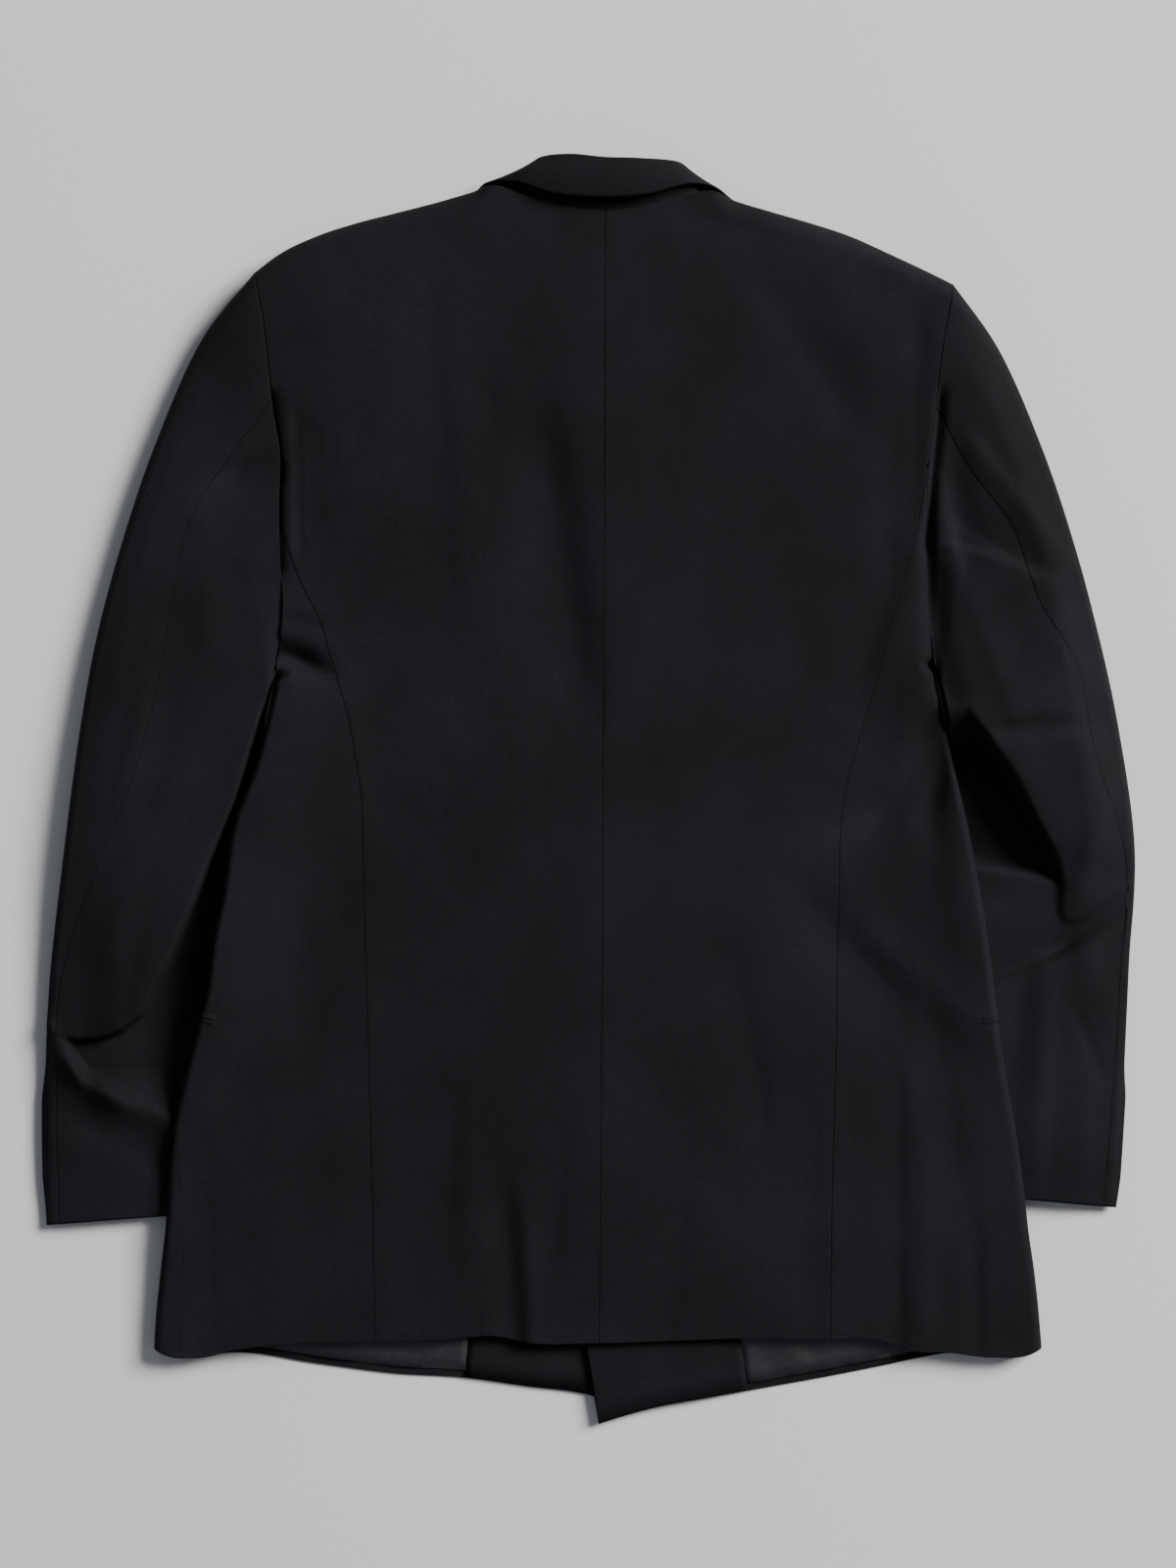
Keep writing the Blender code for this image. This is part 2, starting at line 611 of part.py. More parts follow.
def sleeve_ring(name):
    """Columns round a sleeve as (across, level), from the outer edge over the top to the inner edge."""
    across, level = sleeve_columns(SIDES[name])
    walk = np.linspace(0, 1, 4)[1:]
    inset, turned = rim(walk * ARC_PER_REACH, 1.0)
    tip = 1 - 0.016 * inset[::-1]
    keep = across < tip[0] - 0.02
    across = np.concatenate([across[keep], tip, [1.0]])
    level = np.concatenate([level[keep], turned[::-1], [0.0]])
    across[0] = 0.0
    level[0] = 0.0
    return across, level


def sleeve_grids(name):
    """The under sleeve, seen from above, and the top sleeve, round the outer edge and underneath."""
    side = SIDES[name]
    knots = np.linspace(0, 1, len(side["sleeve"]["seam"]))
    v = np.linspace(0, 1, STATIONS)[:, None]
    seam = through(v, knots, side["sleeve"]["seam"])
    across, level = sleeve_ring(name)
    wide = HALF_SEAM / CUFF_WIDTH

    def columns(*parts):
        """Columns side by side: each part is (across, level), the same for all stations or not."""
        shape = [np.broadcast_to(np.asarray(a), (STATIONS, np.shape(a)[-1])) for a, _ in parts]
        sides = [np.broadcast_to(np.asarray(b), (STATIONS, np.shape(b)[-1])) for _, b in parts]
        grid = np.concatenate(shape, axis=1), np.concatenate(sides, axis=1)
        return sleeve_point(name, np.broadcast_to(v, grid[0].shape), *grid)

    past = across >= PAST_SEAM
    u = np.linspace(0, 1, 4)[None, :-1]
    start = seam + wide
    upper = start + (across[past][0] - start) * u
    round_inner = across > INNER_SEAM
    under = columns(
        (upper, np.ones_like(upper)),
        (across[past], level[past]),
        (across[round_inner][-2::-1], -level[round_inner][-2::-1]),
        ([INNER_SEAM + wide], [-1.0]),
    )
    edge = across < SEAM_LIMIT
    bottom = (across >= SEAM_LIMIT) & (across < INNER_SEAM)
    start = seam - wide
    near = across[edge][-1]
    lower = start + (near - start) * u
    top = columns(
        (lower, np.ones_like(lower)),
        (across[edge][::-1], level[edge][::-1]),
        (across[edge][1:], -level[edge][1:]),
        (across[bottom], -np.ones(bottom.sum())),
        ([INNER_SEAM - wide], [-1.0]),
    )
    return under, top


def lapel_grid(name, rows=11, columns=5):
    """A peaked lapel, turned back flat under its front."""
    ends = LAPEL_ENDS[name]
    sign = SIDES[name]["sign"]
    low, high = np.array(ends["low"]), np.array(ends["high"])
    run = (high - low) / np.linalg.norm(high - low)
    outward = sign * np.array([run[1], -run[0]])
    v = np.linspace(0, 1, rows)[:, None]
    u = np.linspace(0, 1, columns)[None, :]
    width = through(v, LAPEL["along"], LAPEL["width"]) * u
    lean = through(v, LAPEL["along"], LAPEL["lean"]) * (u**3 - 0.35 * np.sin(np.pi * u))
    middle = low + (high - low) * v[..., None]
    flat = middle + outward * width[..., None] + run * lean[..., None]
    x, y = flat[..., 0], flat[..., 1]
    if name == "left":
        return np.stack([x, y, 0 * x], axis=-1)
    part = over_left(x, y)
    spare = 3.2 * part * (1 - part)
    return np.stack([x, y, np.maximum(right_lift(x, y) - CHEST_LIFT - spare, 0)], axis=-1)


def collar_grid(rows_of, inner, outer, crown, rows=29, columns=4):
    """A strip between two of a collar table's lines, arched by a crown."""
    knots = np.linspace(0, 1, len(rows_of["fx"]))
    v = np.linspace(0, 1, rows)
    lines = [
        np.stack([through(v, knots, rows_of[line + axis]) for axis in "xyz"], axis=-1)
        for line in (inner, outer)
    ]
    u = np.linspace(0, 1, columns)[None, :, None]
    strip = lines[0][:, None] + (lines[1] - lines[0])[:, None] * u
    strip[..., 2] += crown * np.sin(np.pi * u[..., 0]) * ease(strip[..., 2], 8, 20)
    return strip


def pocket_grid(name, panel, front):
    """The jets of the pocket: a strip round the side edge, made from the panels' points and moved out."""
    side = SIDES[name]
    row = row_at(side, POCKET_ROW)
    from_end = len(front) - row
    on_side = panel[-from_end : -from_end + 2]
    on_front = front[row : row + 2]
    edge = through(np.array([POCKET["y"]]), side["edge"]["y"], side["edge"]["out"])
    out_side = side["sign"] * on_side[0, :, 0]
    first = int(np.argmax(out_side > edge - POCKET["on_top"]))
    out_front = side["sign"] * on_front[0, :, 0]
    last = int(np.argmax(out_front < edge - POCKET["underneath"])) + 1
    pair = np.concatenate([on_side[:, first:], on_front[:, 1:last]], axis=1)
    down = pair[1] - pair[0]
    centre = (POCKET["y"] - pair[0, :, 1:2]) / down[:, 1:2]
    half = POCKET["height"] / 2 / np.abs(down[:, 1:2])
    strip = np.stack([pair[0] + down * (centre - half), pair[0] + down * (centre + half)])
    along = np.gradient(strip[0], axis=0)
    normal = np.cross(along, down)
    normal /= np.linalg.norm(normal, axis=1, keepdims=True)
    normal *= np.where(np.sum(normal[-1] * [0, 0, -1]) > 0, 1, -1)
    return strip + (SEAM + POCKET["thickness"]) * normal[None]


COLOURS = {
    "wool": ((0.012, 0.012, 0.015), 0.85),
    "satin": ((0.010, 0.010, 0.012), 0.35),
    "lining": ((0.030, 0.030, 0.034), 0.40),
    "button": ((0.008, 0.008, 0.009), 0.25),
}


def material(name):
    made = bpy.data.materials.get(name)
    if made:
        return made
    colour, roughness = COLOURS[name]
    made = bpy.data.materials.new(name)
    made.use_nodes = True
    shader = made.node_tree.nodes["Principled BSDF"]
    shader.inputs["Base Color"].default_value = (*colour, 1)
    shader.inputs["Roughness"].default_value = roughness
    shader.inputs["Metallic"].default_value = 0
    return made


def shell(collection, name, grid, thickness, finish, faces_up):
    """A named object: the grid as the outer side of a piece of cloth, with its thickness added inwards."""
    rows, columns = grid.shape[:2]
    corner = (np.arange(rows - 1)[:, None] * columns + np.arange(columns - 1)[None, :]).ravel()
    first = np.stack([corner, corner + 1, corner + columns + 1], axis=1)
    second = np.stack([corner, corner + columns + 1, corner + columns], axis=1)
    triangles = np.stack([first, second], axis=1).reshape(-1, 3)
    points = (grid.reshape(-1, 3) + CENTRING) * MM
    middle = points[first[(rows - 1) // 2 * (columns - 1) + (columns - 1) // 2]]
    if (np.cross(middle[1] - middle[0], middle[2] - middle[0])[2] > 0) != faces_up:
        triangles = triangles[:, ::-1]
    mesh = bpy.data.meshes.new(name)
    mesh.from_pydata(points.tolist(), [], triangles.tolist())
    mesh.shade_smooth()
    mesh.materials.append(material(finish))
    piece = bpy.data.objects.new(name, mesh)
    wall = piece.modifiers.new("Cloth", "SOLIDIFY")
    wall.thickness = thickness * MM
    wall.offset = -1
    collection.objects.link(piece)
    return piece


def button(collection, name, x, y, size):
    """A flat round button lying on the surface, with its edge rounded."""
    bpy.ops.mesh.primitive_cylinder_add(
        vertices=BUTTON_SIDES, radius=size["radius"] * MM, depth=size["thickness"] * MM,
        location=((x + CENTRING[0]) * MM, (y + CENTRING[1]) * MM, size["thickness"] / 2 * MM),
    )
    piece = bpy.context.object
    piece.name = name
    piece.data.materials.append(material("button"))
    edge = piece.modifiers.new("Edge", "BEVEL")
    edge.width = BUTTON_EDGE * MM
    edge.segments = 1
    piece.data.shade_smooth()
    for old in piece.users_collection:
        old.objects.unlink(piece)
    collection.objects.link(piece)


def cuff_spots(name):
    """Places of the cuff buttons, along the outer edge."""
    side = SIDES[name]
    rows = side["sleeve"]
    end = np.array([rows["out_o"][-1], rows["y_o"][-1]])
    before = np.array([rows["out_o"][-2], rows["y_o"][-2]])
    up = (before - end) / np.linalg.norm(before - end)
    for distance in CUFF_BUTTON["rows"]:
        out, y = end + up * distance
        yield side["sign"] * (out - CUFF_BUTTON["inset"]), y


def main():
    for old in list(bpy.data.objects):
        bpy.data.objects.remove(old)
    jacket = bpy.data.collections.new("Dinner jacket")
    bpy.context.scene.collection.children.link(jacket)
    for name in SIDES:
        panel, front = side_grid(name), front_grid(name)
        shell(jacket, f"back_{name}", back_grid(name), WOOL, "wool", True)
        shell(jacket, f"side_{name}", panel, WOOL, "wool", True)
        shell(jacket, f"front_{name}", front, WOOL, "wool", False)
        shell(jacket, f"facing_{name}", inner_grid(name, front, "facing"), LINING, "wool", True)
        shell(jacket, f"lining_{name}", inner_grid(name, front, "lining"), LINING, "lining", True)
        shell(jacket, f"lapel_{name}", lapel_grid(name), SATIN, "satin", False)
        pocket = pocket_grid(name, panel, front)
        shell(jacket, f"pocket_jets_{name}", pocket, POCKET["thickness"], "wool", False)
        under, top = sleeve_grids(name)
        shell(jacket, f"under_sleeve_{name}", under, WOOL, "wool", True)
        shell(jacket, f"top_sleeve_{name}", top, WOOL, "wool", False)
        for i, (x, y) in enumerate(cuff_spots(name), 1):
            button(jacket, f"cuff_button_{name}_{i}", x, y, CUFF_BUTTON)
    shell(jacket, "collar_fall", collar_grid(FALL, "f", "e", COLLAR_CROWN), WOOL, "wool", True)
    shell(jacket, "collar_stand", collar_grid(STAND, "f", "n", 0.0), WOOL, "wool", True)
    centre = float(through(0.0, CENTRE["y"], CENTRE["x"]))
    number = 0
    for y in FRONT_BUTTON["rows"]:
        for part in (-0.5, 0.5):
            number += 1
            button(jacket, f"front_button_{number}", centre + part * FRONT_BUTTON["spacing"], y, FRONT_BUTTON)


main()
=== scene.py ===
# %% [markdown]
# # A black double-breasted dinner jacket, laid flat with its back up
#
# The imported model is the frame: it fixes the size and the place of every piece. Here each piece of cloth is
# made again as a fine, thin shell on the same form, with the creases and sunk seams that the solids leave
# out. Lengths are in millimetres until a mesh is made. `x` runs across, `y` from the hem to the collar and
# `z` up.

# %%
import math

import bpy
import numpy as np
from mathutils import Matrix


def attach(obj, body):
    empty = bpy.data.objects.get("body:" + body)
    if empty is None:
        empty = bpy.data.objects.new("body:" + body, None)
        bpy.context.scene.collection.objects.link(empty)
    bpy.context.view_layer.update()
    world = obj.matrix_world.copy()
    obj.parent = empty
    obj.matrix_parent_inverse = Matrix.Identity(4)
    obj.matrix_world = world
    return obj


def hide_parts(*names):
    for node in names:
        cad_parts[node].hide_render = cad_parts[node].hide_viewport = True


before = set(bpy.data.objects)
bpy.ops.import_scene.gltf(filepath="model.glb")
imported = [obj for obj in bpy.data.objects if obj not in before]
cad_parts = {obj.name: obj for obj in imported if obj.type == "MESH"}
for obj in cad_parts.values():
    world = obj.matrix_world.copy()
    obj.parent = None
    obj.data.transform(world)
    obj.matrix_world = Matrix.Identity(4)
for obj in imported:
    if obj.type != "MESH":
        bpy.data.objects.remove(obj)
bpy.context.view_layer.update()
print("nodes:", len(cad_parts))

# %% [markdown]
# ## Camera
#
# It looks straight down. A lens of 94 mm from 2.8 m takes in 0.804 m by 1.072 m of the floor.

# %%
MM = 0.001
# Moves every piece so that the origin is under the middle of the whole, as in the solids
CENTRING = np.array([0.95, 2.2, 0.0])

# Over the middle of what the photograph takes in, in metres
CAMERA_PLACE = (-0.0023 + CENTRING[0] * MM, 0.003 + CENTRING[1] * MM, 2.8)

lens = bpy.data.cameras.new("Camera")
lens.lens = 94.0
lens.sensor_width = 36.0
camera = bpy.data.objects.new("Camera", lens)
camera.location = CAMERA_PLACE
bpy.context.scene.collection.objects.link(camera)
bpy.context.scene.camera = camera

# %% [markdown]
# ## Sizes
#
# Each table below is one line or one set of creases. "out" is the distance from x = 0 towards a side, and a
# "walk" is a distance along the cloth from the body's side edge: above 0 on the upper side, below 0
# underneath. Most pairs of numbers say where a change begins and where it ends.

# %%
# Thickness of the cloth, and of its shell here where that is thinner
WOOL = 1.5
SATIN = 1.2
LINING = 1.0
WOOL_SHELL = 1.3
JETS_SHELL = 0.35
# Gaps at the seams
SEAM = 0.16
HALF_SEAM = SEAM / 2
SHOULDER_SEAM = 0.7

# The body's least depth, and how softly its upper side starts from that: in the middle, and past its sides
LEAST_DEPTH = 5.4
SOFTNESS = {"middle": 2.0, "side": 6.0, "start": 185.0, "end": 225.0}

# Round edges: how far each reaches inwards, and how long a quarter turn is for each mm of that
SHOULDER_REACH = 12.0
SIDE_REACH = 5.0
ARC_PER_REACH = 1.25

# Layers under the fronts, and how much each one lifts the cloth over it
CHEST_LIFT = SATIN + 2 * SEAM
BUTTON_LIFT = 3.0
OVERLAP_LIFT = 6.6
HEM_OVERLAP_LIFT = 3.3
SLEEVE_LIFT = 6.3
POCKET_LIFT = 1.6
CUFF_LIFT = 2.7

# How high the sleeve's lower layer is, and where the cuff ends
LOW_SLEEVE = 2.8
CUFF_END = -300.0

# Where the lifts come in or fade out, along the body (y) or across it (out, x)
CHEST_Y = (-150, -100)
BUTTONS_X = (-100, -72)
BUTTONS_LOW_Y = (-242, -212)
BUTTONS_HIGH_Y = (-45, -15)
OVERLAP_Y = (-330, -250)
PAST_OVERLAP = (26, 92)
POCKET_FROM_Y = (22, 48)
POCKET_OUT = (90, 118)
FOREARM_INSET = (62, 22)
FOREARM_BELOW_ARM = 30
FOREARM_ABOVE_CUFF = (45, 5)

# The pocket's place, the height of its jets, and how far they reach from the side edge
POCKET = {"y": -155.0, "height": 8.0, "on_top": 13.0, "underneath": 132.0}
# How far above the hem the facing and the lining end, and how far the facing ends inside the front edge
HEM_GAP = {"facing": 0.9, "lining": 5.0}
FACING_INSET = 1.0


def table(columns, *rows):
    """A table with named columns, as one array for each column."""
    return dict(zip(columns.split(), np.array(rows, float).T))


# Centre back seam
CENTRE = table("y x", (396, 9), (120, 8), (-120, 7), (-380, 5))

# Top edge seen from above: shoulder lines and the neckline between them
TOP_EDGE = table(
    "x y",
    (-229, 351), (-213, 363), (-187, 375.8), (-160, 384.7), (-133, 391.7), (-106, 398.7), (-82, 405.6),
    (-68, 409.5), (-45, 402.5), (-18, 395.2), (9, 392), (38, 396.2), (60, 401.5), (83, 405.6), (96, 400.7),
    (122, 392.7), (149, 384.8), (176, 375.8), (202, 364), (229, 351.3), (246, 343),
)
NECK = {"left": -68.0, "right": 83.0}
NECK_BLEND = 14.0

# Hem of the back and the side panels
BACK_HEM = table(
    "x y",
    (-299, -381.5), (-293, -385), (-268, -388), (-242, -382.5), (-211, -379), (-154, -377), (-100, -375.5),
    (-64, -373.5), (-48, -377), (5, -378), (63, -376), (110, -374.7), (163, -375.4), (191, -375),
    (204, -378.5), (217, -382.8), (243, -384.3), (273, -387.6), (300, -385.2), (307, -381.5),
)

SIDES = {
    "left": {
        "sign": -1,
        "shoulder": (229, 351),
        "underarm": (214.7, 77),
        # The seam where the back meets the sleeve
        "armhole": table(
            "y out",
            (351, 229), (313, 222), (280, 218.5), (258, 216), (230, 211.5), (189, 212), (150, 211),
            (124, 209.5), (103, 211), (77, 214.7),
        ),
        # The same on the front
        "front_armhole": table(
            "y out",
            (351, 229), (325, 214), (280, 202), (235, 197), (190, 197), (140, 201), (105, 207), (77, 214.7),
        ),
        # Seam between the back and the side panel
        "side_seam": table(
            "y out",
            (176, 211.3), (160, 205.5), (134, 195), (115, 185), (91, 178), (71, 172), (46, 165), (22, 161),
            (-3, 157), (-33, 156), (-72, 155), (-163, 152.5), (-241, 150.5), (-306, 149), (-390, 148),
        ),
        # Side edge of the body seen from above
        "edge": table(
            "y out",
            (77, 214.7), (46, 221), (16, 229), (-20, 243), (-75, 252), (-101, 257.5), (-137, 262.5),
            (-160, 268), (-194, 277), (-220, 283), (-241, 286.5), (-292, 289.5), (-359, 297), (-390, 298.8),
        ),
        # Seam between the front and the side panel, as its walk from the side edge
        "front_seam": table(
            "y walk",
            (77, -1), (68, -2), (52, -8), (36, -15), (0, -20), (-100, -16), (-170, -8), (-215, 2),
            (-292, 12), (-349, 18.5), (-390, 19.5),
        ),
        # Front edge: neck, roll line and front edge, as distance towards the left
        "front_edge": table(
            "y x",
            (411, -68), (388, -55), (360, -47.5), (300, -31), (157, 11.5), (40, 45.5), (-45, 70), (-75, 76),
            (-110, 75), (-250, 57), (-380, 37), (-426, 31),
        ),
        "hem": table(
            "x y",
            (-299, -382), (-270, -387.5), (-242, -385.5), (-187, -393), (-132, -400), (-89, -402.5),
            (-45, -408.5), (-2, -414.5), (31, -426), (60, -430),
        ),
        # Sleeve: its outer edge, its inner edge under the body and the elbow seam's place across
        "sleeve": table(
            "out_o y_o out_i y_i seam",
            (229, 351, 214.7, 77, 0.317), (266, 305, 218.8, 66, 0.33), (296, 238, 222.6, 48, 0.30),
            (319, 171, 226, 22, 0.35), (337, 104, 231, -12, 0.375), (349, 37, 237, -60, 0.325),
            (360, -47, 241, -118, 0.18), (369.5, -131, 240, -172, 0.06), (373, -215, 234, -230, 0.056),
            (372, -298, 228, -287, 0.056),
        ),
    },
    "right": {
        "sign": 1,
        "shoulder": (246, 343),
        "underarm": (233, 83),
        "armhole": table(
            "y out",
            (343, 246), (325, 242.5), (306, 239), (276, 235.5), (258, 233.5), (222, 229), (175, 228.5),
            (130, 229.5), (100, 231), (83, 233),
        ),
        "front_armhole": table(
            "y out",
            (343, 246), (318, 231), (275, 218), (232, 213), (190, 213), (142, 217), (110, 224), (83, 233),
        ),
        "side_seam": table(
            "y out",
            (222, 228.5), (173, 220), (123, 206), (81, 195), (58, 189), (-4, 172), (-77, 168),
            (-158, 166.5), (-281, 163.5), (-390, 162.5),
        ),
        "edge": table(
            "y out",
            (83, 233), (52, 239), (18, 246), (-20, 255), (-55, 262), (-106, 270.5), (-137, 274.5),
            (-199, 283), (-236, 290), (-267, 294), (-303, 298), (-332, 302.5), (-390, 308),
        ),
        "front_seam": table(
            "y walk",
            (83, -1), (68, -3), (52, -9), (36, -16), (0, -22), (-150, -20), (-390, -18),
        ),
        "front_edge": table(
            "y x",
            (407, 83), (386, 71), (358, 63.5), (300, 47.5), (157, 7.5), (40, -24), (-45, -47), (-75, -53),
            (-110, -51), (-250, -29), (-380, -4), (-434, 5),
        ),
        "hem": table(
            "x y",
            (-30, -446), (5, -434), (24, -428), (47, -422), (81, -416), (110, -411), (155, -403),
            (201, -394), (225, -389), (243, -386), (273, -388.5), (300, -386.5), (308, -382),
        ),
        "sleeve": table(
            "out_o y_o out_i y_i seam",
            (246, 343, 233, 83, 0.32), (279, 297, 237.2, 70, 0.365), (307, 233, 240.9, 50, 0.31),
            (328, 171, 244, 24, 0.295), (346, 104, 247, -12, 0.175), (360, 37, 249, -60, 0.165),
            (371, -47, 250, -112, 0.06), (367, -120, 245, -163, 0.056), (363, -205, 232, -220, 0.056),
            (358, -286, 214, -273, 0.056),
        ),
    },
}

# Height of the back above the surface, along the centre
BACK_HEIGHT = table(
    "y z", (-395, 10.5), (-350, 13), (-200, 15), (0, 16), (150, 18), (270, 22), (330, 24), (414, 22),
)
SHOULDER_PAD = {"out": 185.0, "y": 325.0, "across": 60.0, "along": 55.0, "height": 4.0}

# The largest folds: a trough, below 0, or a ridge along a line
BODY_FOLDS = table(
    "x0 y0 x1 y1 left right depth",
    # The upper back: a long soft dimple left of the middle, and faint ones beside it
    (-31, 214, -13, 96, 17, 30, -5.2), (-109, 311, -100, 163, 10, 24, -1.1),
    (-69, 268, -70, 205, 9, 16, -0.7), (74, 388, 106, 380, 8, 12, -1.0), (128, 326, 172, 262, 22, 13, -1.8),
    (-150, 330, -158, 250, 12, 26, -0.8),
    # Beside the left armhole: the body dips under the sleeve. Then streaks, and the bunch at the underarm
    (-220, 262, -216, 215, 6.5, 1.4, -5.5), (-216, 215, -214.5, 150, 6, 1.4, -5.5),
    (-200, 250, -198, 168, 2.8, 4, -1.3), (-193, 248, -190, 176, 2.6, 4, -0.9),
    (-186, 240, -183, 184, 2.8, 5, -0.8), (-176, 236, -174, 196, 3.0, 6, -0.4),
    (-206, 124, -190, 122, 4.2, 4.2, 0.5), (-206, 114, -188, 111, 3.6, 3.6, -0.7),
    (-206, 104, -188, 101, 3.8, 3.8, 0.5), (-214, 92, -199, 87, 9, 8, -8.0),
    (-199, 87, -184, 80, 5, 6, -1.6),
    # Beside the right armhole
    (237, 262, 229, 168, 5, 3, -4.6), (222, 300, 217, 190, 9, 12, -2.2), (205, 262, 202, 170, 8, 12, -1.5),
    (205, 145, 186, 86, 9, 16, -1.9), (231, 168, 235, 75, 7, 7, -3.0),
    # The body swells along its sides, and folds in below the right underarm
    (-224, 40, -266, -130, 46, 30, 7.0), (-262, -112, -284, -215, 40, 22, 3.5),
    (240, 50, 262, -90, 28, 28, 6.0), (245, 42, 229, 20, 12, 10, -8.0), (229, 20, 229, 2, 12, 12, -8.0),
    (229, 2, 232, -34, 9, 14, -1.8), (231, 4, 204, -16, 9, 16, -4.2), (204, -16, 176, -24, 10, 20, -1.6),
    # Lower half
    (-176, -83, -208, -110, 9, 14, -1.4), (-195, -152, -240, -196, 16, 11, -1.5),
    (-96, -230, -98, -292, 8, 16, -1.1), (-59, -292, -53, -376, 9, 14, -2.8),
    (-45, -296, -42, -376, 7, 7, 1.1), (-22, -262, -25, -308, 7, 13, -0.9),
    (101, -146, 115, -216, 9, 15, -1.3), (160, -92, 232, -168, 13, 24, -2.6),
    (232, -168, 249, -266, 11, 19, -2.3), (200, -110, 262, -160, 12, 12, 1.4),
    (209, -210, 210, -380, 5, 11, -1.8), (228, -240, 226, -370, 8, 8, 0.9),
    (262, -306, 263, -372, 4.5, 8, -1.1), (-262, -250, -258, -370, 6, 13, -0.7),
    (60, -300, 52, -370, 7, 16, -0.6), (150, -250, 152, -376, 7, 18, -0.8),
    (-150, -210, -150, -330, 8, 22, -0.7),
)
SLEEVE_FOLDS = table(
    "x0 y0 x1 y1 left right depth",
    # Right: a trough from the armhole, the fold that starts below it, and the ridge along the outer edge
    (225, 176, 228, 118, 10, 4, -4.0), (228, 118, 238, 70, 13, 4, -5.5), (234, 248, 252, 168, 13, 8, -4.4),
    (264, 172, 296, 152, 12, 4, -1.4), (234, 165, 262, 158, 4, 26, 2.4), (262, 158, 298, 145, 4, 24, 2.0),
    (262, 228, 330, 148, 6, 12, 2.2), (286, 40, 328, 44, 6, 7, -2.0), (336, 58, 352, 40, 14, 14, -1.8),
    (300, 66, 340, 90, 14, 14, 1.0), (262, 118, 282, 62, 12, 9, 1.4), (292, 12, 313, -34, 16, 8, 1.5),
    (348, -10, 330, -70, 8, 8, 1.5),
    # Right forearm: the valley below the elbow, and the soft waves down to the cuff
    (276, -127, 319, -109, 20, 5, -5.5), (319, -109, 366, -77, 9, 4.5, -3.4),
    (262, -70, 320, -80, 14, 14, -1.2), (307, -137, 302, -254, 10, 12, 1.9),
    (297, -138, 288, -192, 12, 12, -1.6), (333, -158, 346, -191, 5, 6, -1.0),
    (338, -200, 334, -270, 8, 8, 0.7), (340, -120, 350, -150, 10, 10, 1.2),
    (262, -250, 258, -284, 8, 10, -0.8),
    # Left: the dark fold at the armhole, and soft waves down the arm
    (-215, 232, -236, 219, 14, 5, -3.6), (-236, 219, -262, 205, 12, 8, -1.2),
    (-268, 190, -262, 110, 12, 12, 0.8), (-300, 90, -318, 20, 10, 10, 0.7),
    (-286, 60, -300, -10, 9, 16, -0.8), (-310, -40, -326, -100, 12, 12, 0.8),
    (-316, 44, -334, -20, 6, 12, -1.0), (-300, -120, -306, -146, 8, 8, 1.0),
    # Left forearm: the bright ridge across it, and the slope below
    (-370, -163, -352, -190, 5, 8, 3.0), (-352, -190, -326, -209, 5, 9, 4.4),
    (-326, -209, -276, -231, 6, 11, 4.2), (-350, -226, -300, -252, 10, 10, -1.4),
    (-282, -262, -278, -292, 7, 7, -0.8),
)

# Outlines of the sleeves' upper layers, from the armhole to the elbow and then round outside the sleeve
UPPER_LAYER = {
    "left": table(
        "x y",
        (-198, 400), (-198, 120), (-205, 96), (-214.7, 72), (-223.4, 49), (-231.5, 23), (-241.5, -10),
        (-250, -30), (-259, -51), (-272, -84), (-286, -117), (-296, -137), (-304.5, -154), (-319, -166),
        (-336, -172.5), (-352, -173), (-420, -150), (-420, 400),
    ),
    "right": table(
        "x y",
        (229, 400), (229, 150), (231, 124), (233, 100), (236, 76), (242, 60), (252, 46), (262, 34),
        (272, 19), (282, 3), (299, -30), (311, -50), (315, -66), (314, -84), (318, -95), (332, -98),
        (347, -87), (366, -71), (382, -58), (440, -50), (440, 400),
    ),
}
# How high it stands at the inner side, down the arm
UPPER_HEIGHT = {
    "left": table(
        "y z",
        (200, 20), (120, 19.5), (77, 20.5), (0, 22.5), (-70, 22), (-140, 21), (-180, 19),
    ),
    "right": table(
        "y z",
        (200, 24), (100, 25), (60, 29), (0, 32), (-36, 26), (-58, 18.5), (-84, 16), (-104, 15),
    ),
}
# How far it comes down again towards the outer corner of the elbow: from x, to x, from y, to y, by how much
UPPER_TAPER = {"left": (318, 350, -30, -165, 7.0), "right": (330, 372, -10, -70, 6.0)}
# How far in from its edge the layer reaches its full height, below and above the elbow
LAYER_ROUND = {"left": (3.0, 3.0), "right": (9.0, 10.0)}
ELBOW_TO_ARM = (30, 80)
# The hollow beside the armhole: its depth fades out between these two heights
VALLEY = {"left": (60, 130), "right": (22, 58)}
# The forearm's layer: where it starts, over what distance it rises, and how high it stands
FOREARM_TOP = {
    "left": table(
        "x y",
        (-376, -128), (-362, -140), (-350, -172), (-320, -181), (-300, -187), (-280, -196), (-225, -215),
    ),
    "right": table(
        "x y",
        (225, -43), (265, -49), (300, -55), (318, -59), (345, -60), (390, -60),
    ),
}
FOREARM_RISE = {"left": 27.0, "right": 8.0}
FOREARM_HEIGHT = {"left": 10.5, "right": 13.5}
CUFF_HEIGHT = 8.5
TOWARDS_CUFF = (235, 300)
# The layers are evened out over this much
BLUR = 1.3
# Creases come in where the sleeve stands between these heights, with this part of the body's waves
CREASED = (4.5, 9)
SLEEVE_WAVINESS = 0.7
# The sleeve is thinner towards its outer edge: over this distance from it, and down to this part
THIN_EDGE = {"left": (28.0, 0.78), "right": (40.0, 0.55)}
THIN_START = -6

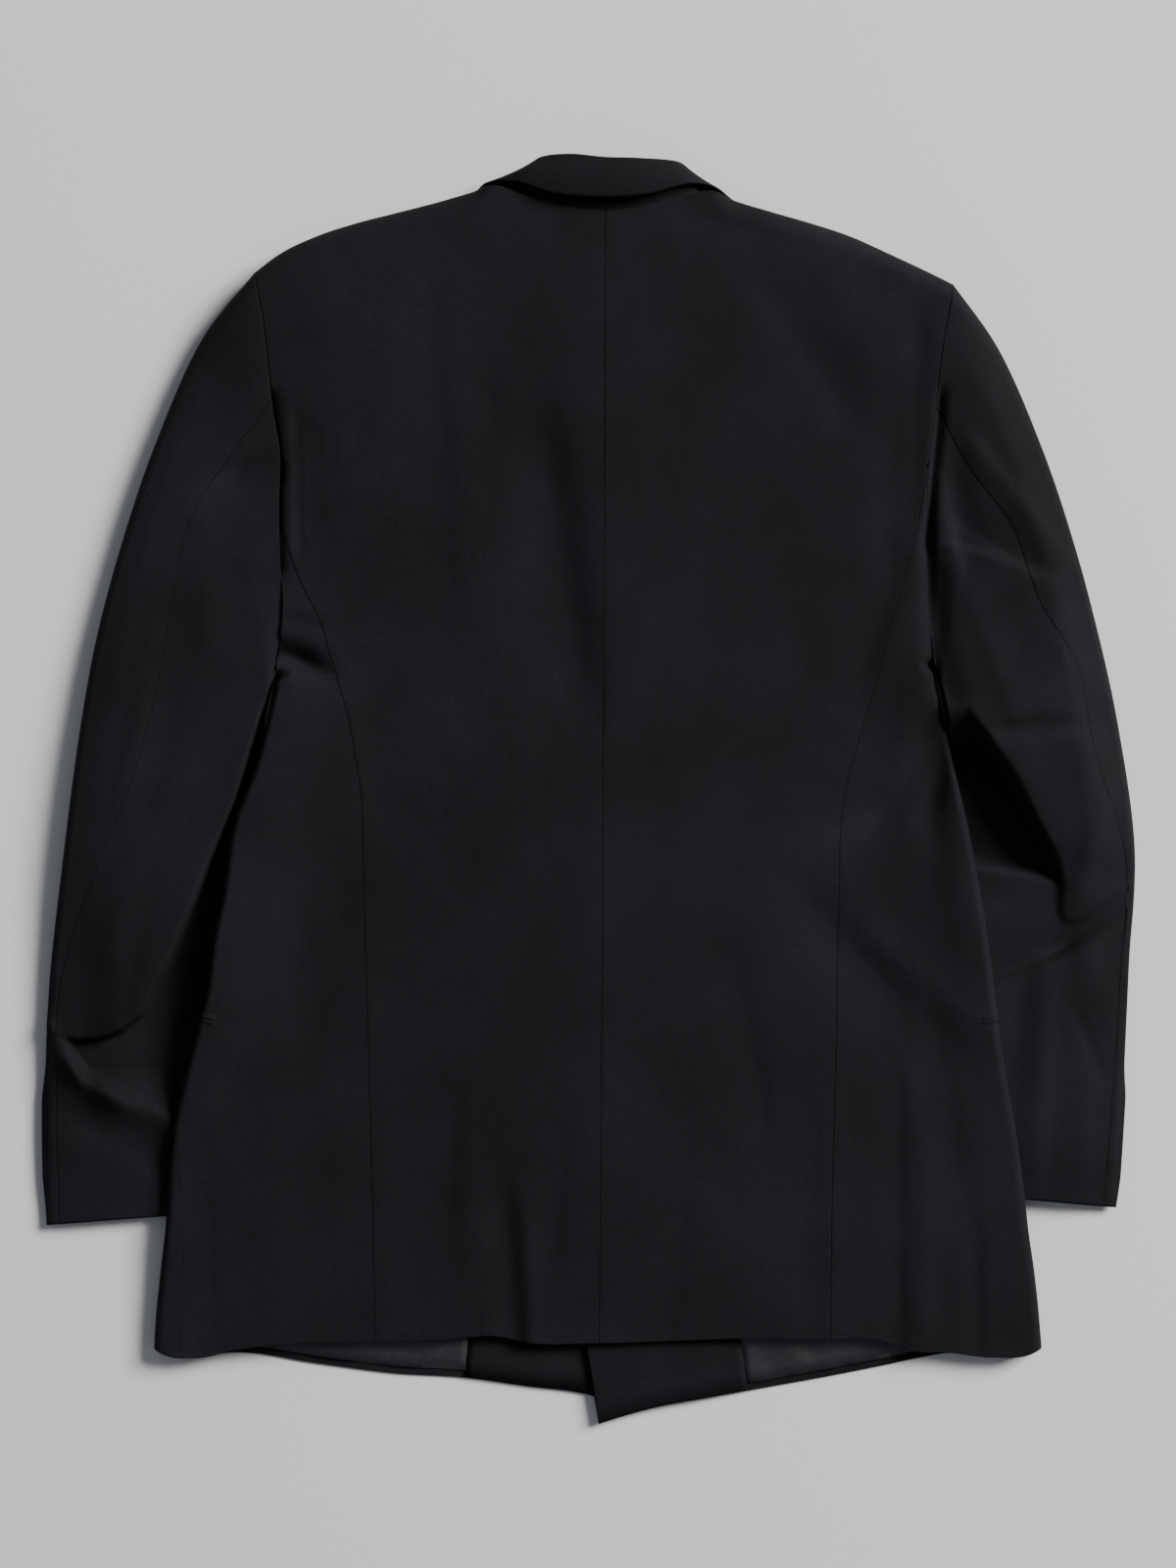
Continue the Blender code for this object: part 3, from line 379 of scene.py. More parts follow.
# Collar, from the left front round the back of the neck to the right front: the fold (f) and the free
# edge (e) of its fall, and the fold and the neck seam (n) of its stand
FALL = table(
    "fx fy fz ex ey ez",
    (-45, 352, 0.1, -93, 362, 0.1), (-47, 384, 0.1, -93, 386, 0.1), (-44, 405, 1.2, -85.5, 399, 0.6),
    (-43.5, 415.5, 7, -78, 408, 6), (-42.5, 422.5, 14.5, -69.5, 413, 14), (-34, 428.5, 23.2, -50, 411, 26),
    (-14, 429.6, 29.2, -25, 402.5, 31), (9, 427.2, 31.2, 7, 399.8, 32), (32, 426.6, 30.4, 38, 402, 31.5),
    (57, 425.4, 24.5, 65, 409.5, 27.5), (65, 421.5, 14.5, 83, 410, 14), (62, 414.5, 7, 93, 404.5, 6),
    (60, 404, 1.2, 101.5, 397, 0.6), (63, 382, 0.1, 109, 384, 0.1), (61, 350, 0.1, 109, 360, 0.1),
)
STAND = table(
    "fx fy fz nx ny nz",
    (-44.4, 352, 0.3, -44.8, 354, 3.6), (-46.3, 384, 0.3, -47.1, 386, 4.2), (-43, 405, 3.2, -50, 406.5, 8),
    (-42.3, 413, 8.5, -56, 408.5, 12), (-41.3, 419.5, 15, -57, 406, 15.5),
    (-33.5, 426, 22.3, -45, 399.5, 18.5), (-14, 427.6, 26.6, -18, 392.4, 19.6),
    (9, 425.2, 28.6, 9, 389.1, 20), (32, 424.6, 27.8, 36, 393.2, 19.6), (56.5, 423, 22.0, 61, 399, 18.6),
    (64, 418.5, 15, 72, 405.5, 15.5), (61, 412, 8.5, 71.5, 407, 12), (59, 404, 3.2, 66, 406, 8),
    (62.3, 382, 0.3, 63.1, 384, 4.2), (60.4, 350, 0.3, 60.8, 352, 3.6),
)
# The fall is arched by this much, and only where it lies this high
COLLAR_CROWN = 2.5
CROWNED = (8, 20)

# Lapels: the roll line and the outer edge, from the lower end up to the gorge and the peak
LAPEL = table(
    "along width lean",
    (0.00, 3, 0), (0.12, 30, 0), (0.30, 56, 0), (0.50, 76, 0), (0.70, 90, 0), (0.86, 99, 2),
    (1.00, 102, 24),
)
LAPEL_ENDS = {
    "left": {"low": (73.5, -60.0), "high": (-45.5, 349.0)},
    "right": {"low": (-50.0, -60.0), "high": (61.5, 347.0)},
}
# A lapel's upper edge sags in its middle by this part of its lean
LAPEL_BELLY = 0.35
# The right lapel is let down by up to a quarter of this where its front steps over the left one
LAPEL_SPARE = 3.2

# Cloth is never quite flat: long soft waves that lean down the body, and shorter, lower ones
WAVES = table(
    "height width lean along seed",
    (0.6, 50, 0.25, 0.5, 1), (0.22, 21, 0.25, 0.6, 2), (0.07, 9, 0, 1, 3),
)
LINING_WRINKLES = {"height": 0.9, "width": 13.0, "along": 1.6, "seed": 11}

# %% [markdown]
# ## Curves and heights
#
# The tables become smooth lines here, and they give the height of the body's upper and lower side.


# %%
def through(at, knots, values):
    """A smooth curve through a table's rows: cubics, with slopes from the neighbouring rows."""
    order = np.argsort(knots)
    knots, values = knots[order], values[order]
    slopes = np.gradient(values, knots)
    at = np.clip(at, knots[0], knots[-1])
    i = np.clip(np.searchsorted(knots, at) - 1, 0, len(knots) - 2)
    span = knots[i + 1] - knots[i]
    t = (at - knots[i]) / span
    return (
        (2 * t**3 - 3 * t**2 + 1) * values[i]
        + (t**3 - 2 * t**2 + t) * span * slopes[i]
        + (3 * t**2 - 2 * t**3) * values[i + 1]
        + (t**3 - t**2) * span * slopes[i + 1]
    )


def line(rows, at):
    """A two-column table's second column, at places along its first."""
    places, values = rows.values()
    return through(at, places, values)


def ease(x, start, end):
    """0 before start, 1 after end, smooth between."""
    t = np.clip((x - start) / (end - start), 0, 1)
    return t * t * (3 - 2 * t)


def rim(walk, reach):
    """Walking round an edge: how far inside it a point is, and its level from -1 underneath to 1 on top."""
    quarter = ARC_PER_REACH * reach
    turn = np.clip(walk / quarter, -1, 1) * np.pi / 2
    inset = reach * (1 - np.cos(turn)) + np.maximum(np.abs(walk) - quarter, 0)
    return inset, np.sin(turn)


def walk_of(inset, reach):
    """The walk on top from an edge to a point this far inside it."""
    inset = np.maximum(inset, 0)
    near = np.arccos(1 - np.minimum(inset / reach, 1)) * 2 / np.pi
    return ARC_PER_REACH * reach * near + np.maximum(inset - reach, 0)


def greater(a, b, blend):
    """The greater of two heights, with a soft change from one to the other."""
    return (a + b + np.sqrt((a - b) ** 2 + blend**2)) / 2


def folds(rows, x, y):
    """The sum of troughs and ridges.

    Each is a bell across its line that fades past the line's ends, with one width on the line's left, as it
    runs, and one on its right.
    """
    total = np.zeros(np.broadcast(x, y).shape)
    for x0, y0, x1, y1, left, right, depth in zip(*rows.values()):
        run = np.array([x1 - x0, y1 - y0])
        length = math.hypot(*run)
        along = ((x - x0) * run[0] + (y - y0) * run[1]) / length
        beyond = np.maximum(np.maximum(-along, along - length), 0)
        across = ((y - y0) * run[0] - (x - x0) * run[1]) / length
        width = np.where(across > 0, left, right)
        total = total + depth * np.exp(-((across / width) ** 2) - (beyond / (left + right)) ** 2)
    return total


# Random heights stand on a square lattice that repeats, and x = y = 0 is inside it
LATTICE = 64
LATTICE_START = 40


def value_noise(x, y, scale, seed):
    """Smooth random heights from -1 to 1 that change over about this distance."""
    lattice = np.random.default_rng(seed).uniform(-1, 1, (LATTICE, LATTICE))
    u, v = x / scale + LATTICE_START, y / scale + LATTICE_START
    i, j = np.floor(u).astype(int), np.floor(v).astype(int)
    s, t = u - i, v - j
    s, t = s**3 * (6 * s * s - 15 * s + 10), t**3 * (6 * t * t - 15 * t + 10)
    corner = [[lattice[(i + a) % LATTICE, (j + b) % LATTICE] for b in (0, 1)] for a in (0, 1)]
    low, high = [corner[0][b] * (1 - s) + corner[1][b] * s for b in (0, 1)]
    return low * (1 - t) + high * t


def waviness(x, y):
    """The sum of the cloth's waves."""
    total = 0.0
    for height, width, lean, along, seed in zip(*WAVES.values()):
        total = total + height * value_noise(x + lean * y, along * y, width, int(seed))
    return total


def back_height(x, y):
    """Height of the body's upper side, with the padded shoulders and the folds."""
    middle = line(CENTRE, y)
    pad = SHOULDER_PAD["height"] * np.exp(
        -(((np.abs(x - middle) - SHOULDER_PAD["out"]) / SHOULDER_PAD["across"]) ** 2)
        - ((y - SHOULDER_PAD["y"]) / SHOULDER_PAD["along"]) ** 2
    )
    smooth = line(BACK_HEIGHT, y) + pad + folds(BODY_FOLDS, x, y)
    return smooth + waviness(x, y)


def front_edge(side, y):
    """A front's own edge, as its x at this height."""
    return line(side["front_edge"], y)


def sleeve_below(side, x, y):
    """How far the body is lifted off the surface by the forearm that lies under its side."""
    out = side["sign"] * x
    inner = through(y, side["sleeve"]["y_i"], side["sleeve"]["out_i"])
    top = side["underarm"][1]
    started = ease(-y, -top, -top + FOREARM_BELOW_ARM)
    forearm = started * ease(y, CUFF_END - FOREARM_ABOVE_CUFF[0], CUFF_END - FOREARM_ABOVE_CUFF[1])
    return SLEEVE_LIFT * ease(out, inner - FOREARM_INSET[0], inner - FOREARM_INSET[1]) * forearm


def pocket_below(side, x, y):
    """How far the pocket's jets lift it."""
    near = 1 - ease(np.abs(y - POCKET["y"]), *POCKET_FROM_Y)
    return POCKET_LIFT * near * ease(side["sign"] * x, *POCKET_OUT)


def left_lift(x, y):
    """Height of the left front's outer side: it lies over its lapel, its buttons and the left forearm."""
    chest = CHEST_LIFT * ease(y, *CHEST_Y)
    buttons = BUTTON_LIFT * ease(x, *BUTTONS_X) * ease(y, *BUTTONS_LOW_Y) * (1 - ease(y, *BUTTONS_HIGH_Y))
    side = SIDES["left"]
    return np.maximum.reduce([chest, buttons, sleeve_below(side, x, y), pocket_below(side, x, y)])


def over_left(x, y):
    """1 where the right front lies over the left one, 0 well past the left front's edge."""
    edge = front_edge(SIDES["left"], y)
    return 1 - ease(x, edge + PAST_OVERLAP[0], edge + PAST_OVERLAP[1])


def right_lift(x, y):
    """The same for the right front, which also lies over the left one."""
    side = SIDES["right"]
    chest = CHEST_LIFT * ease(y, *CHEST_Y)
    alone = np.maximum.reduce([chest, sleeve_below(side, x, y), pocket_below(side, x, y)])
    above = HEM_OVERLAP_LIFT + (OVERLAP_LIFT - HEM_OVERLAP_LIFT) * ease(y, *OVERLAP_Y)
    return alone + (above - alone) * over_left(x, y)


LIFT = {"left": left_lift, "right": right_lift}


def body_point(name, x, y, level):
    """A point of the body's surface, with level 1 on the upper side and -1 on the lower side."""
    low = LIFT[name](x, y)
    past = ease(np.abs(x), SOFTNESS["start"], SOFTNESS["end"])
    blend = SOFTNESS["middle"] + (SOFTNESS["side"] - SOFTNESS["middle"]) * past
    high = greater(back_height(x, y), low + LEAST_DEPTH, blend)
    return np.stack([x, y, low + (high - low) * (1 + level) / 2], axis=-1)


def spread(side, drops, top, hem):
    """Heights of the rows in a column: from its top edge to the underarm's height, and on to its hem."""
    arm = side["underarm"][1]
    depth = side["shoulder"][1] - arm
    above = top - drops / depth * (top - arm)
    below = arm - (drops - depth) / (arm - LAST_ROW) * (arm - hem)
    return np.where(drops <= depth, above, below)


def settle(side, across, drops):
    """Rows run from the top edge to the hem, and columns between two seams. Each depends on the other."""
    y = side["shoulder"][1] - drops
    x = across(y)
    for _ in range(PASSES):
        y = spread(side, drops, on_top_edge(x[:1]), on_back_hem(x[-1:]))
        x = across(y)
    return x, y


def on_top_edge(x):
    """Height of the top edge: a shoulder or the neckline."""
    return line(TOP_EDGE, x)


def on_back_hem(x):
    """Height of the back's hem."""
    return line(BACK_HEM, x)


def shoulder_level(name, x, level):
    """The round edge ends at the neck, where the pieces are open for the collar."""
    inside = SIDES[name]["sign"] * (NECK[name] - x)
    return level + (1.0 - level) * ease(inside, -NECK_BLEND, 0)


def back_outline(side, y):
    """The back's outer seam: the armhole, then the side seam."""
    start = side["side_seam"]["y"][0]
    arm = line(side["armhole"], y)
    seam = line(side["side_seam"], y)
    return np.where(y > start, arm, np.minimum(arm, seam))


# %% [markdown]
# ## Grids
#
# Each panel is a grid of points: rows run down the panel from the shoulder, and columns run across it
# between two seams. Both are closer together along the seams, where the cloth rolls in.

# %%
# Steps between a grid's points: on the back, on the side panels and underneath, and next to a seam
FINE = 2.6
SIDE_STEP = 2.0
UNDER_STEP = 5.0
NEAR_EDGE = (0.0, 0.5, 1.2, 2.6)
# Usual widths of the panels, for the number of their columns
BACK_WIDTH = 190.0
SIDE_WIDTH = 150.0
FRONT_WIDTH = 300.0
# Rows round the top edge, the last row's height before it follows the hem, and where the facing and the
# lining start
ROUND_ROWS = 9
LAST_ROW = -380.0
INNER_TOP = -260.0
# A grid whose outline depends on its own points is worked out this many times
PASSES = 6
FRONT_PASSES = 8
# At the underarm the panels' outer corners dip: by this level, over these parts of the width and this rise
CORNER_DIP = 0.72
SIDE_CORNER = (0.7, 1.0)
FRONT_CORNER = (0, 0.3)
CORNER_RISE = 6
BELOW_ARM = 0.5
# The side panel starts this far below the top of its seam
SEAM_TOP_GAP = 3
# The front's first columns go round the side edge, and reach this far underneath, or past the armhole
WRAP_COLUMNS = 22
WRAP_START = (0, 0.012, 0.03, 0.06, 0.1)
WRAP_REACH = 20.0
ARMHOLE_WRAP = 18.0
# A point below this level is on the lower side
LOWER_SIDE = -0.5
# The lining starts in this column of the front
LINING_START = WRAP_COLUMNS - 2
# Where the facing ends and the lining starts, at the hem
FACING_SIDE = {"left": -84.0, "right": 108.0}


def parts(length, step=FINE):
    """Places from 0 to 1 along a length: a step apart, and closer at both ends."""
    ends = np.array(NEAR_EDGE)
    count = max(int(round((length - 2 * ends[-1]) / step)), 2)
    middle = np.linspace(ends[-1], length - ends[-1], count + 1)
    return np.concatenate([ends[:-1], middle, length - ends[-2::-1]]) / length


def row_heights(side, step=FINE):
    """(drop, level) of each row below the shoulder: round its edge, down the armhole, then to the hem."""
    walks = np.linspace(SHOULDER_SEAM / 2, ARC_PER_REACH * SHOULDER_REACH, ROUND_ROWS)
    inset, level = rim(walks, SHOULDER_REACH)
    depth = side["shoulder"][1] - side["underarm"][1]
    arm = SHOULDER_REACH + (depth - SHOULDER_REACH) * np.linspace(0, 1, int(depth / step))[1:]
    below_arm = side["underarm"][1] - LAST_ROW
    lower = depth + below_arm * parts(below_arm, step)[len(NEAR_EDGE) :]
    drops = np.concatenate([inset, arm, lower])
    return drops, np.concatenate([level, np.ones(len(arm) + len(lower))])


def back_grid(name):
    """Half of the back, from the centre seam to the armhole and the side seam."""
    side = SIDES[name]
    drops, levels = row_heights(side)
    u = parts(BACK_WIDTH)[None, :]

    def across(y):
        centre = line(CENTRE, y) + side["sign"] * HALF_SEAM
        outer = side["sign"] * (back_outline(side, y) - HALF_SEAM)
        return centre + (outer - centre) * u

    x, y = settle(side, across, drops[:, None])
    return body_point(name, x, y, shoulder_level(name, x, levels[:, None]))


def near_underarm(side, y):
    """1 at the underarm's height, 0 a little above it."""
    return 1 - ease(y, side["underarm"][1], side["underarm"][1] + CORNER_RISE)


def side_grid(name):
    """The side panel, from the back's seam to the side edge and round it to the front's seam."""
    side = SIDES[name]
    drops, _ = row_heights(side)
    below_seam_top = side["shoulder"][1] - drops < side["side_seam"]["y"][0] - SEAM_TOP_GAP
    drops = drops[int(np.argmax(below_seam_top)) :]
    u = parts(SIDE_WIDTH, SIDE_STEP)[None, :]
    y = (side["shoulder"][1] - drops)[:, None] + 0 * u
    for _ in range(PASSES):
        edge = line(side["edge"], y)
        arm = line(side["armhole"], y)
        back = back_outline(side, y) + HALF_SEAM
        front = line(side["front_seam"], y) + HALF_SEAM
        inner = walk_of(edge - back, SIDE_REACH)
        inset, level = rim(inner + (front - inner) * u, SIDE_REACH)
        under = y < side["underarm"][1] - BELOW_ARM
        out = np.where(under, edge - inset, back + (arm - HALF_SEAM - back) * u)
        corner = ease(u, *SIDE_CORNER) * near_underarm(side, y)
        level = np.where(under, level, 1 - CORNER_DIP * corner)
        x = side["sign"] * out
        y = spread(side, drops[:, None], side["shoulder"][1], on_back_hem(x[-1:]))
    return body_point(name, x, y, level)


def front_grid(name):
    """The front, from its seam with the side panel to its own front edge."""
    side = SIDES[name]
    sign = side["sign"]
    drops, levels = row_heights(side, UNDER_STEP)
    even = np.linspace(WRAP_START[-1], 1, WRAP_COLUMNS - len(WRAP_START) + 1)
    wrap = np.concatenate([WRAP_START, even[1:]])[None, :]
    u = parts(FRONT_WIDTH, UNDER_STEP)[None, 1:]
    y = (side["shoulder"][1] - drops)[:, None] + np.zeros((1, WRAP_COLUMNS + u.size))
    turned = -ARC_PER_REACH * SIDE_REACH - WRAP_REACH
    for _ in range(FRONT_PASSES):
        near = y[:, :WRAP_COLUMNS]
        edge = line(side["edge"], near)
        arm = line(side["front_armhole"], near) - HALF_SEAM
        seam = line(side["front_seam"], near) - HALF_SEAM
        inset, level_wrap = rim(seam + (turned - seam) * wrap, SIDE_REACH)
        under = near < side["underarm"][1] - BELOW_ARM
        start = np.where(under, edge - inset, arm - ARMHOLE_WRAP * wrap)
        last = sign * start[:, -1:]
        inner = front_edge(side, y[:, WRAP_COLUMNS:])
        x = np.concatenate([sign * start, last + (inner - last) * u], axis=1)
        corner = (1 - ease(wrap, *FRONT_CORNER)) * near_underarm(side, near)
        level_wrap = np.where(under, level_wrap, CORNER_DIP * corner - 1.0)
        level = np.concatenate([level_wrap, -np.ones((len(y), u.size))], axis=1)
        hem_front = line(side["hem"], x[-1:])
        hem = np.where(level[-1:] > LOWER_SIDE, on_back_hem(x[-1:]), hem_front)
        y = spread(side, drops[:, None], on_top_edge(x[:1]), hem)
    rounded = -levels[:, None] + 0 * x
    level = np.where(drops[:, None] < SHOULDER_REACH, rounded, level)
    return body_point(name, x, y, level)


def inner_grid(name, front, piece):
    """The facing or the lining inside a front's hem, made from the front's points and moved inwards."""
    split = int(np.argmin(np.abs(front[-1, WRAP_COLUMNS:, 0] - FACING_SIDE[name]))) + WRAP_COLUMNS
    part = front[int(np.argmax(front[:, split, 1] < INNER_TOP)) : -len(NEAR_EDGE)].copy()
    down = part[-1] - part[-2]
    wanted = front[-1, :, 1] + HEM_GAP[piece]
    part[-1] += down * ((wanted - part[-1, :, 1]) / down[:, 1])[:, None]
    if piece == "facing":
        part = part[:, split:]
        edge = part[:, -1] - part[:, -2]
        part[:, -1] -= edge * (FACING_INSET / np.abs(edge[:, :1]))
    else:
        part = part[:, LINING_START : split + 1]
        edge = part[:, -1] - part[:, -2]
        part[:, -1] -= edge * (SEAM / np.abs(edge[:, :1]))
        x, y = part[..., 0], part[..., 1]
        wrinkles = LINING_WRINKLES
        height = value_noise(x + y, wrinkles["along"] * y, wrinkles["width"], wrinkles["seed"])
        part[..., 2] += wrinkles["height"] * height
    part[..., 2] += WOOL + SEAM + LINING
    return part


# %% [markdown]
# ## Sleeves
#
# A sleeve is a flat tube in two pieces. `across` goes from its outer edge, 0, to its inner edge, 1, which
# lies under the body's side. Its upper layer drops to the lower one beside the body.

# %%
# Rows down a sleeve, and its width near the cuff
STATIONS = 330
CUFF_WIDTH = 145.0
# Parts of the sleeve's width: its round outer and inner edges, and the inner seam's place underneath
OUTER_PART = 0.0436
INNER_PART = 0.016
INNER_SEAM = 0.85
# At the cuff's vent the lower layer stands out past the upper one, between these distances below y = 0
VENT = {"out": 2.2, "in": 0.8, "top": (186, 214), "end": (262, 296), "across": (0.08, 0.3)}
VENT_LEVELS = {"lower": (-0.3, 0.1), "upper": (0.1, 0.5)}
# Parts of the sleeve's length, from the armhole, over which the body's outline, height and creases fade
OUTLINE_FADE = 0.28
HEIGHT_FADE = 0.14
CREASE_FADE = 0.06
# The cuff's buttons lift it: along the sleeve and across it
CUFF_ALONG = (0.72, 0.80)
CUFF_ACROSS = (0.3, 0.62)
# Columns round the outer edge and the inner one, and up to the seam underneath
ROUND_OUTER = 9
ROUND_INNER = 8
UNDER_COLUMNS = 7
# (usual width, step) of the columns on the under sleeve, the top sleeve's strip on top, and its underside
UNDER_SLEEVE_STEPS = (CUFF_WIDTH, 1.7)
STRIP_STEPS = (40.0, 2.2)
TOP_SLEEVE_STEPS = (110.0, UNDER_STEP)


def depth_inside(outline, x, y):
    """Distance to a closed outline from points inside it, and 0 outside."""
    corners = np.stack([outline["x"], outline["y"]], axis=1)
    nearest = np.full(x.shape, 1e9)
    inside = np.zeros(x.shape, bool)
    for start, end in zip(corners, np.roll(corners, -1, axis=0)):
        run = end - start
        t = np.clip(((x - start[0]) * run[0] + (y - start[1]) * run[1]) / (run @ run), 0, 1)
        nearest = np.minimum(nearest, np.hypot(x - start[0] - t * run[0], y - start[1] - t * run[1]))
        if start[1] != end[1]:
            crosses = (start[1] > y) != (end[1] > y)
            inside ^= crosses & (x < start[0] + (y - start[1]) * run[0] / run[1])
    return np.where(inside, nearest, 0)


def rounded(distance, reach):
    """0 outside an edge, then a quarter of a circle up to 1."""
    t = np.clip(distance / reach, 0, 1)
    return np.sqrt(1 - (1 - t) ** 2)


def layered(name, x, y):
    """Height of the sleeve's upper side: the highest of its layers, each with a rounded edge."""
    out = np.abs(x)
    high = line(UPPER_HEIGHT[name], y)
    x0, x1, y0, y1, fall = UPPER_TAPER[name]
    high = high - fall * ease(out, x0, x1) * ease(-y, -y0, -y1)
    at_elbow, at_arm = LAYER_ROUND[name]
    reach = at_elbow + (at_arm - at_elbow) * ease(y, *ELBOW_TO_ARM)
    upper = LOW_SLEEVE + (high - LOW_SLEEVE) * rounded(depth_inside(UPPER_LAYER[name], x, y), reach)
    valley = LOW_SLEEVE + (high - LOW_SLEEVE) * ease(y, *VALLEY[name])
    below = line(FOREARM_TOP[name], x) - y
    rise = ease(below, 0, FOREARM_RISE[name]) if name == "left" else rounded(below, FOREARM_RISE[name])
    full = FOREARM_HEIGHT[name] + (CUFF_HEIGHT - FOREARM_HEIGHT[name]) * ease(-y, *TOWARDS_CUFF)
    forearm = LOW_SLEEVE + (full - LOW_SLEEVE) * rise
    return np.maximum.reduce([upper, valley, forearm])


def sleeve_height(name, x, y):
    """The layers' height, evened out over a little more than the grid's step, and the folds."""
    around = ((0, 0), (BLUR, 0), (-BLUR, 0), (0, BLUR), (0, -BLUR))
    total = 0.0
    for dx, dy in around:
        total = total + layered(name, x + dx, y + dy) / len(around)
    waves = folds(SLEEVE_FOLDS, x, y) + SLEEVE_WAVINESS * waviness(x, y)
    return total + waves * ease(total, *CREASED)


def sleeve_point(name, v, across, level):
    """A point of the sleeve: v from the armhole to the cuff, across from the outer to the inner edge."""
    side = SIDES[name]
    rows = side["sleeve"]
    knots = np.linspace(0, 1, len(rows["out_o"]))
    outer = np.stack([through(v, knots, rows["out_o"]), through(v, knots, rows["y_o"])], axis=-1)
    inner = np.stack([through(v, knots, rows["out_i"]), through(v, knots, rows["y_i"])], axis=-1)
    flat = outer + (inner - outer) * across[..., None]
    start_y = side["shoulder"][1] + (side["underarm"][1] - side["shoulder"][1]) * across
    chord = side["shoulder"][0] + (side["underarm"][0] - side["shoulder"][0]) * across
    hole = np.where(
        level > 0,
        line(side["armhole"], start_y),
        line(side["front_armhole"], start_y),
    )
    fade = 1 - ease(v, 0, OUTLINE_FADE)
    # The first row leaves a seam's gap beside the armhole
    out = flat[..., 0] + (hole - chord) * fade + SEAM * (v < 1e-6)
    x, y = side["sign"] * out, flat[..., 1]
    opened = ease(-y, *VENT["top"])
    vent = VENT["out"] * ease(-level, *VENT_LEVELS["lower"]) * opened * (1 - ease(-y, *VENT["end"]))
    vent = vent - VENT["in"] * ease(level, *VENT_LEVELS["upper"]) * opened
    x = x + side["sign"] * (vent * (1 - ease(across, *VENT["across"])))
    share = (1 + level) / 2
    at_hole = body_point(name, side["sign"] * hole, start_y, level)[..., 2]
    at_hole = at_hole - share * folds(BODY_FOLDS, side["sign"] * hole, start_y)
    # The right sleeve follows the creases that cross the armhole, and the left one stands over them
    seam_folds = share * folds(BODY_FOLDS, x, y) * (1 - ease(v, 0, CREASE_FADE)) * (side["sign"] > 0)
    cuff = CUFF_LIFT * ease(v, *CUFF_ALONG) * (1 - ease(across, *CUFF_ACROSS))
    reach, part = THIN_EDGE[name]
    from_edge = across * np.hypot(*(outer - inner).T).T
    thin = part + (1 - part) * ease(from_edge, THIN_START, reach)
    top = sleeve_height(name, x, y)
    high = np.maximum(LOW_SLEEVE + (top - LOW_SLEEVE) * thin, cuff + LOW_SLEEVE)
    own = cuff + (high - cuff) * share
    near = 1 - ease(v, 0, HEIGHT_FADE)
    return np.stack([x, y, own + (at_hole - own) * near + seam_folds], axis=-1)


def sleeve_level(across):
    """The level on the upper side: it turns over at the outer and the inner edge."""
    outer = np.sin(np.arccos(1 - np.clip(across / OUTER_PART, 0, 1)))
    inner = np.sin(np.arccos(1 - np.clip((1 - across) / INNER_PART, 0, 1)))
    return np.minimum(outer, inner)


def round_outer(count):
    """Places across, from the outer edge inwards, that are evenly spaced round it."""
    return OUTER_PART * (1 - np.cos(np.linspace(0, np.pi / 2, count)))


def sleeve_grids(name):
    """The under sleeve, seen from above, and the top sleeve, round the outer edge and underneath."""
    side = SIDES[name]
    knots = np.linspace(0, 1, len(side["sleeve"]["seam"]))
    v = np.linspace(0, 1, STATIONS)[:, None]
    seam = through(v, knots, side["sleeve"]["seam"])
    wide = HALF_SEAM / CUFF_WIDTH
    round_inner = 1 - INNER_PART * (1 - np.cos(np.linspace(0, np.pi / 2, ROUND_INNER)))

    def grid(columns):
        """The points of columns that are each (places across, 1 on the upper side or -1 underneath)."""
        across = np.concatenate([np.broadcast_to(a, (STATIONS, a.shape[-1])) for a, _ in columns], axis=1)
        sign = np.concatenate([np.full(a.shape[-1], s) for a, s in columns])[None, :]
        return sleeve_point(name, np.broadcast_to(v, across.shape), across, sign * sleeve_level(across))

    u = parts(*UNDER_SLEEVE_STEPS)[None, :-1]
    upper = seam + wide + (round_inner[-1] - seam - wide) * u
    under = grid([
        (upper, 1.0),
        (round_inner[::-1], 1.0),
        (round_inner[1:], -1.0),
        (np.linspace(round_inner[-1], INNER_SEAM + wide, UNDER_COLUMNS)[1:], -1.0),
    ])
    near = round_outer(ROUND_OUTER)
    start = seam - wide
    strip = start + (near[-1] - start) * parts(*STRIP_STEPS)[None, :-1]
    underneath = near[-1] + (INNER_SEAM - wide - near[-1]) * parts(*TOP_SLEEVE_STEPS)[1:]
    top = grid([(strip, 1.0), (near[::-1], 1.0), (near[1:], -1.0), (underneath, -1.0)])
    return under, top


# %% [markdown]
# ## Lapels, collar and pocket jets
#
# A lapel, the collar's fall and its stand are strips between two lines. The jets are made from the panels'
# own points.


# %%
def lapel_grid(name, rows=90, columns=26):
    """A peaked lapel, turned back flat under its front."""
    ends = LAPEL_ENDS[name]
    sign = SIDES[name]["sign"]
    low, high = np.array(ends["low"]), np.array(ends["high"])
    run = (high - low) / np.linalg.norm(high - low)
    away = sign * np.array([run[1], -run[0]])
    v = np.linspace(0, 1, rows)[:, None]
    u = np.linspace(0, 1, columns)[None, :]
    width = through(v, LAPEL["along"], LAPEL["width"]) * u
    lean = through(v, LAPEL["along"], LAPEL["lean"]) * (u**3 - LAPEL_BELLY * np.sin(np.pi * u))
    middle = low + (high - low) * v[..., None]
    flat = middle + away * width[..., None] + run * lean[..., None]
    x, y = flat[..., 0], flat[..., 1]
    if name == "left":
        return np.stack([x, y, 0 * x], axis=-1)
    part = over_left(x, y)
    spare = LAPEL_SPARE * part * (1 - part)
    return np.stack([x, y, np.maximum(right_lift(x, y) - CHEST_LIFT - spare, 0)], axis=-1)


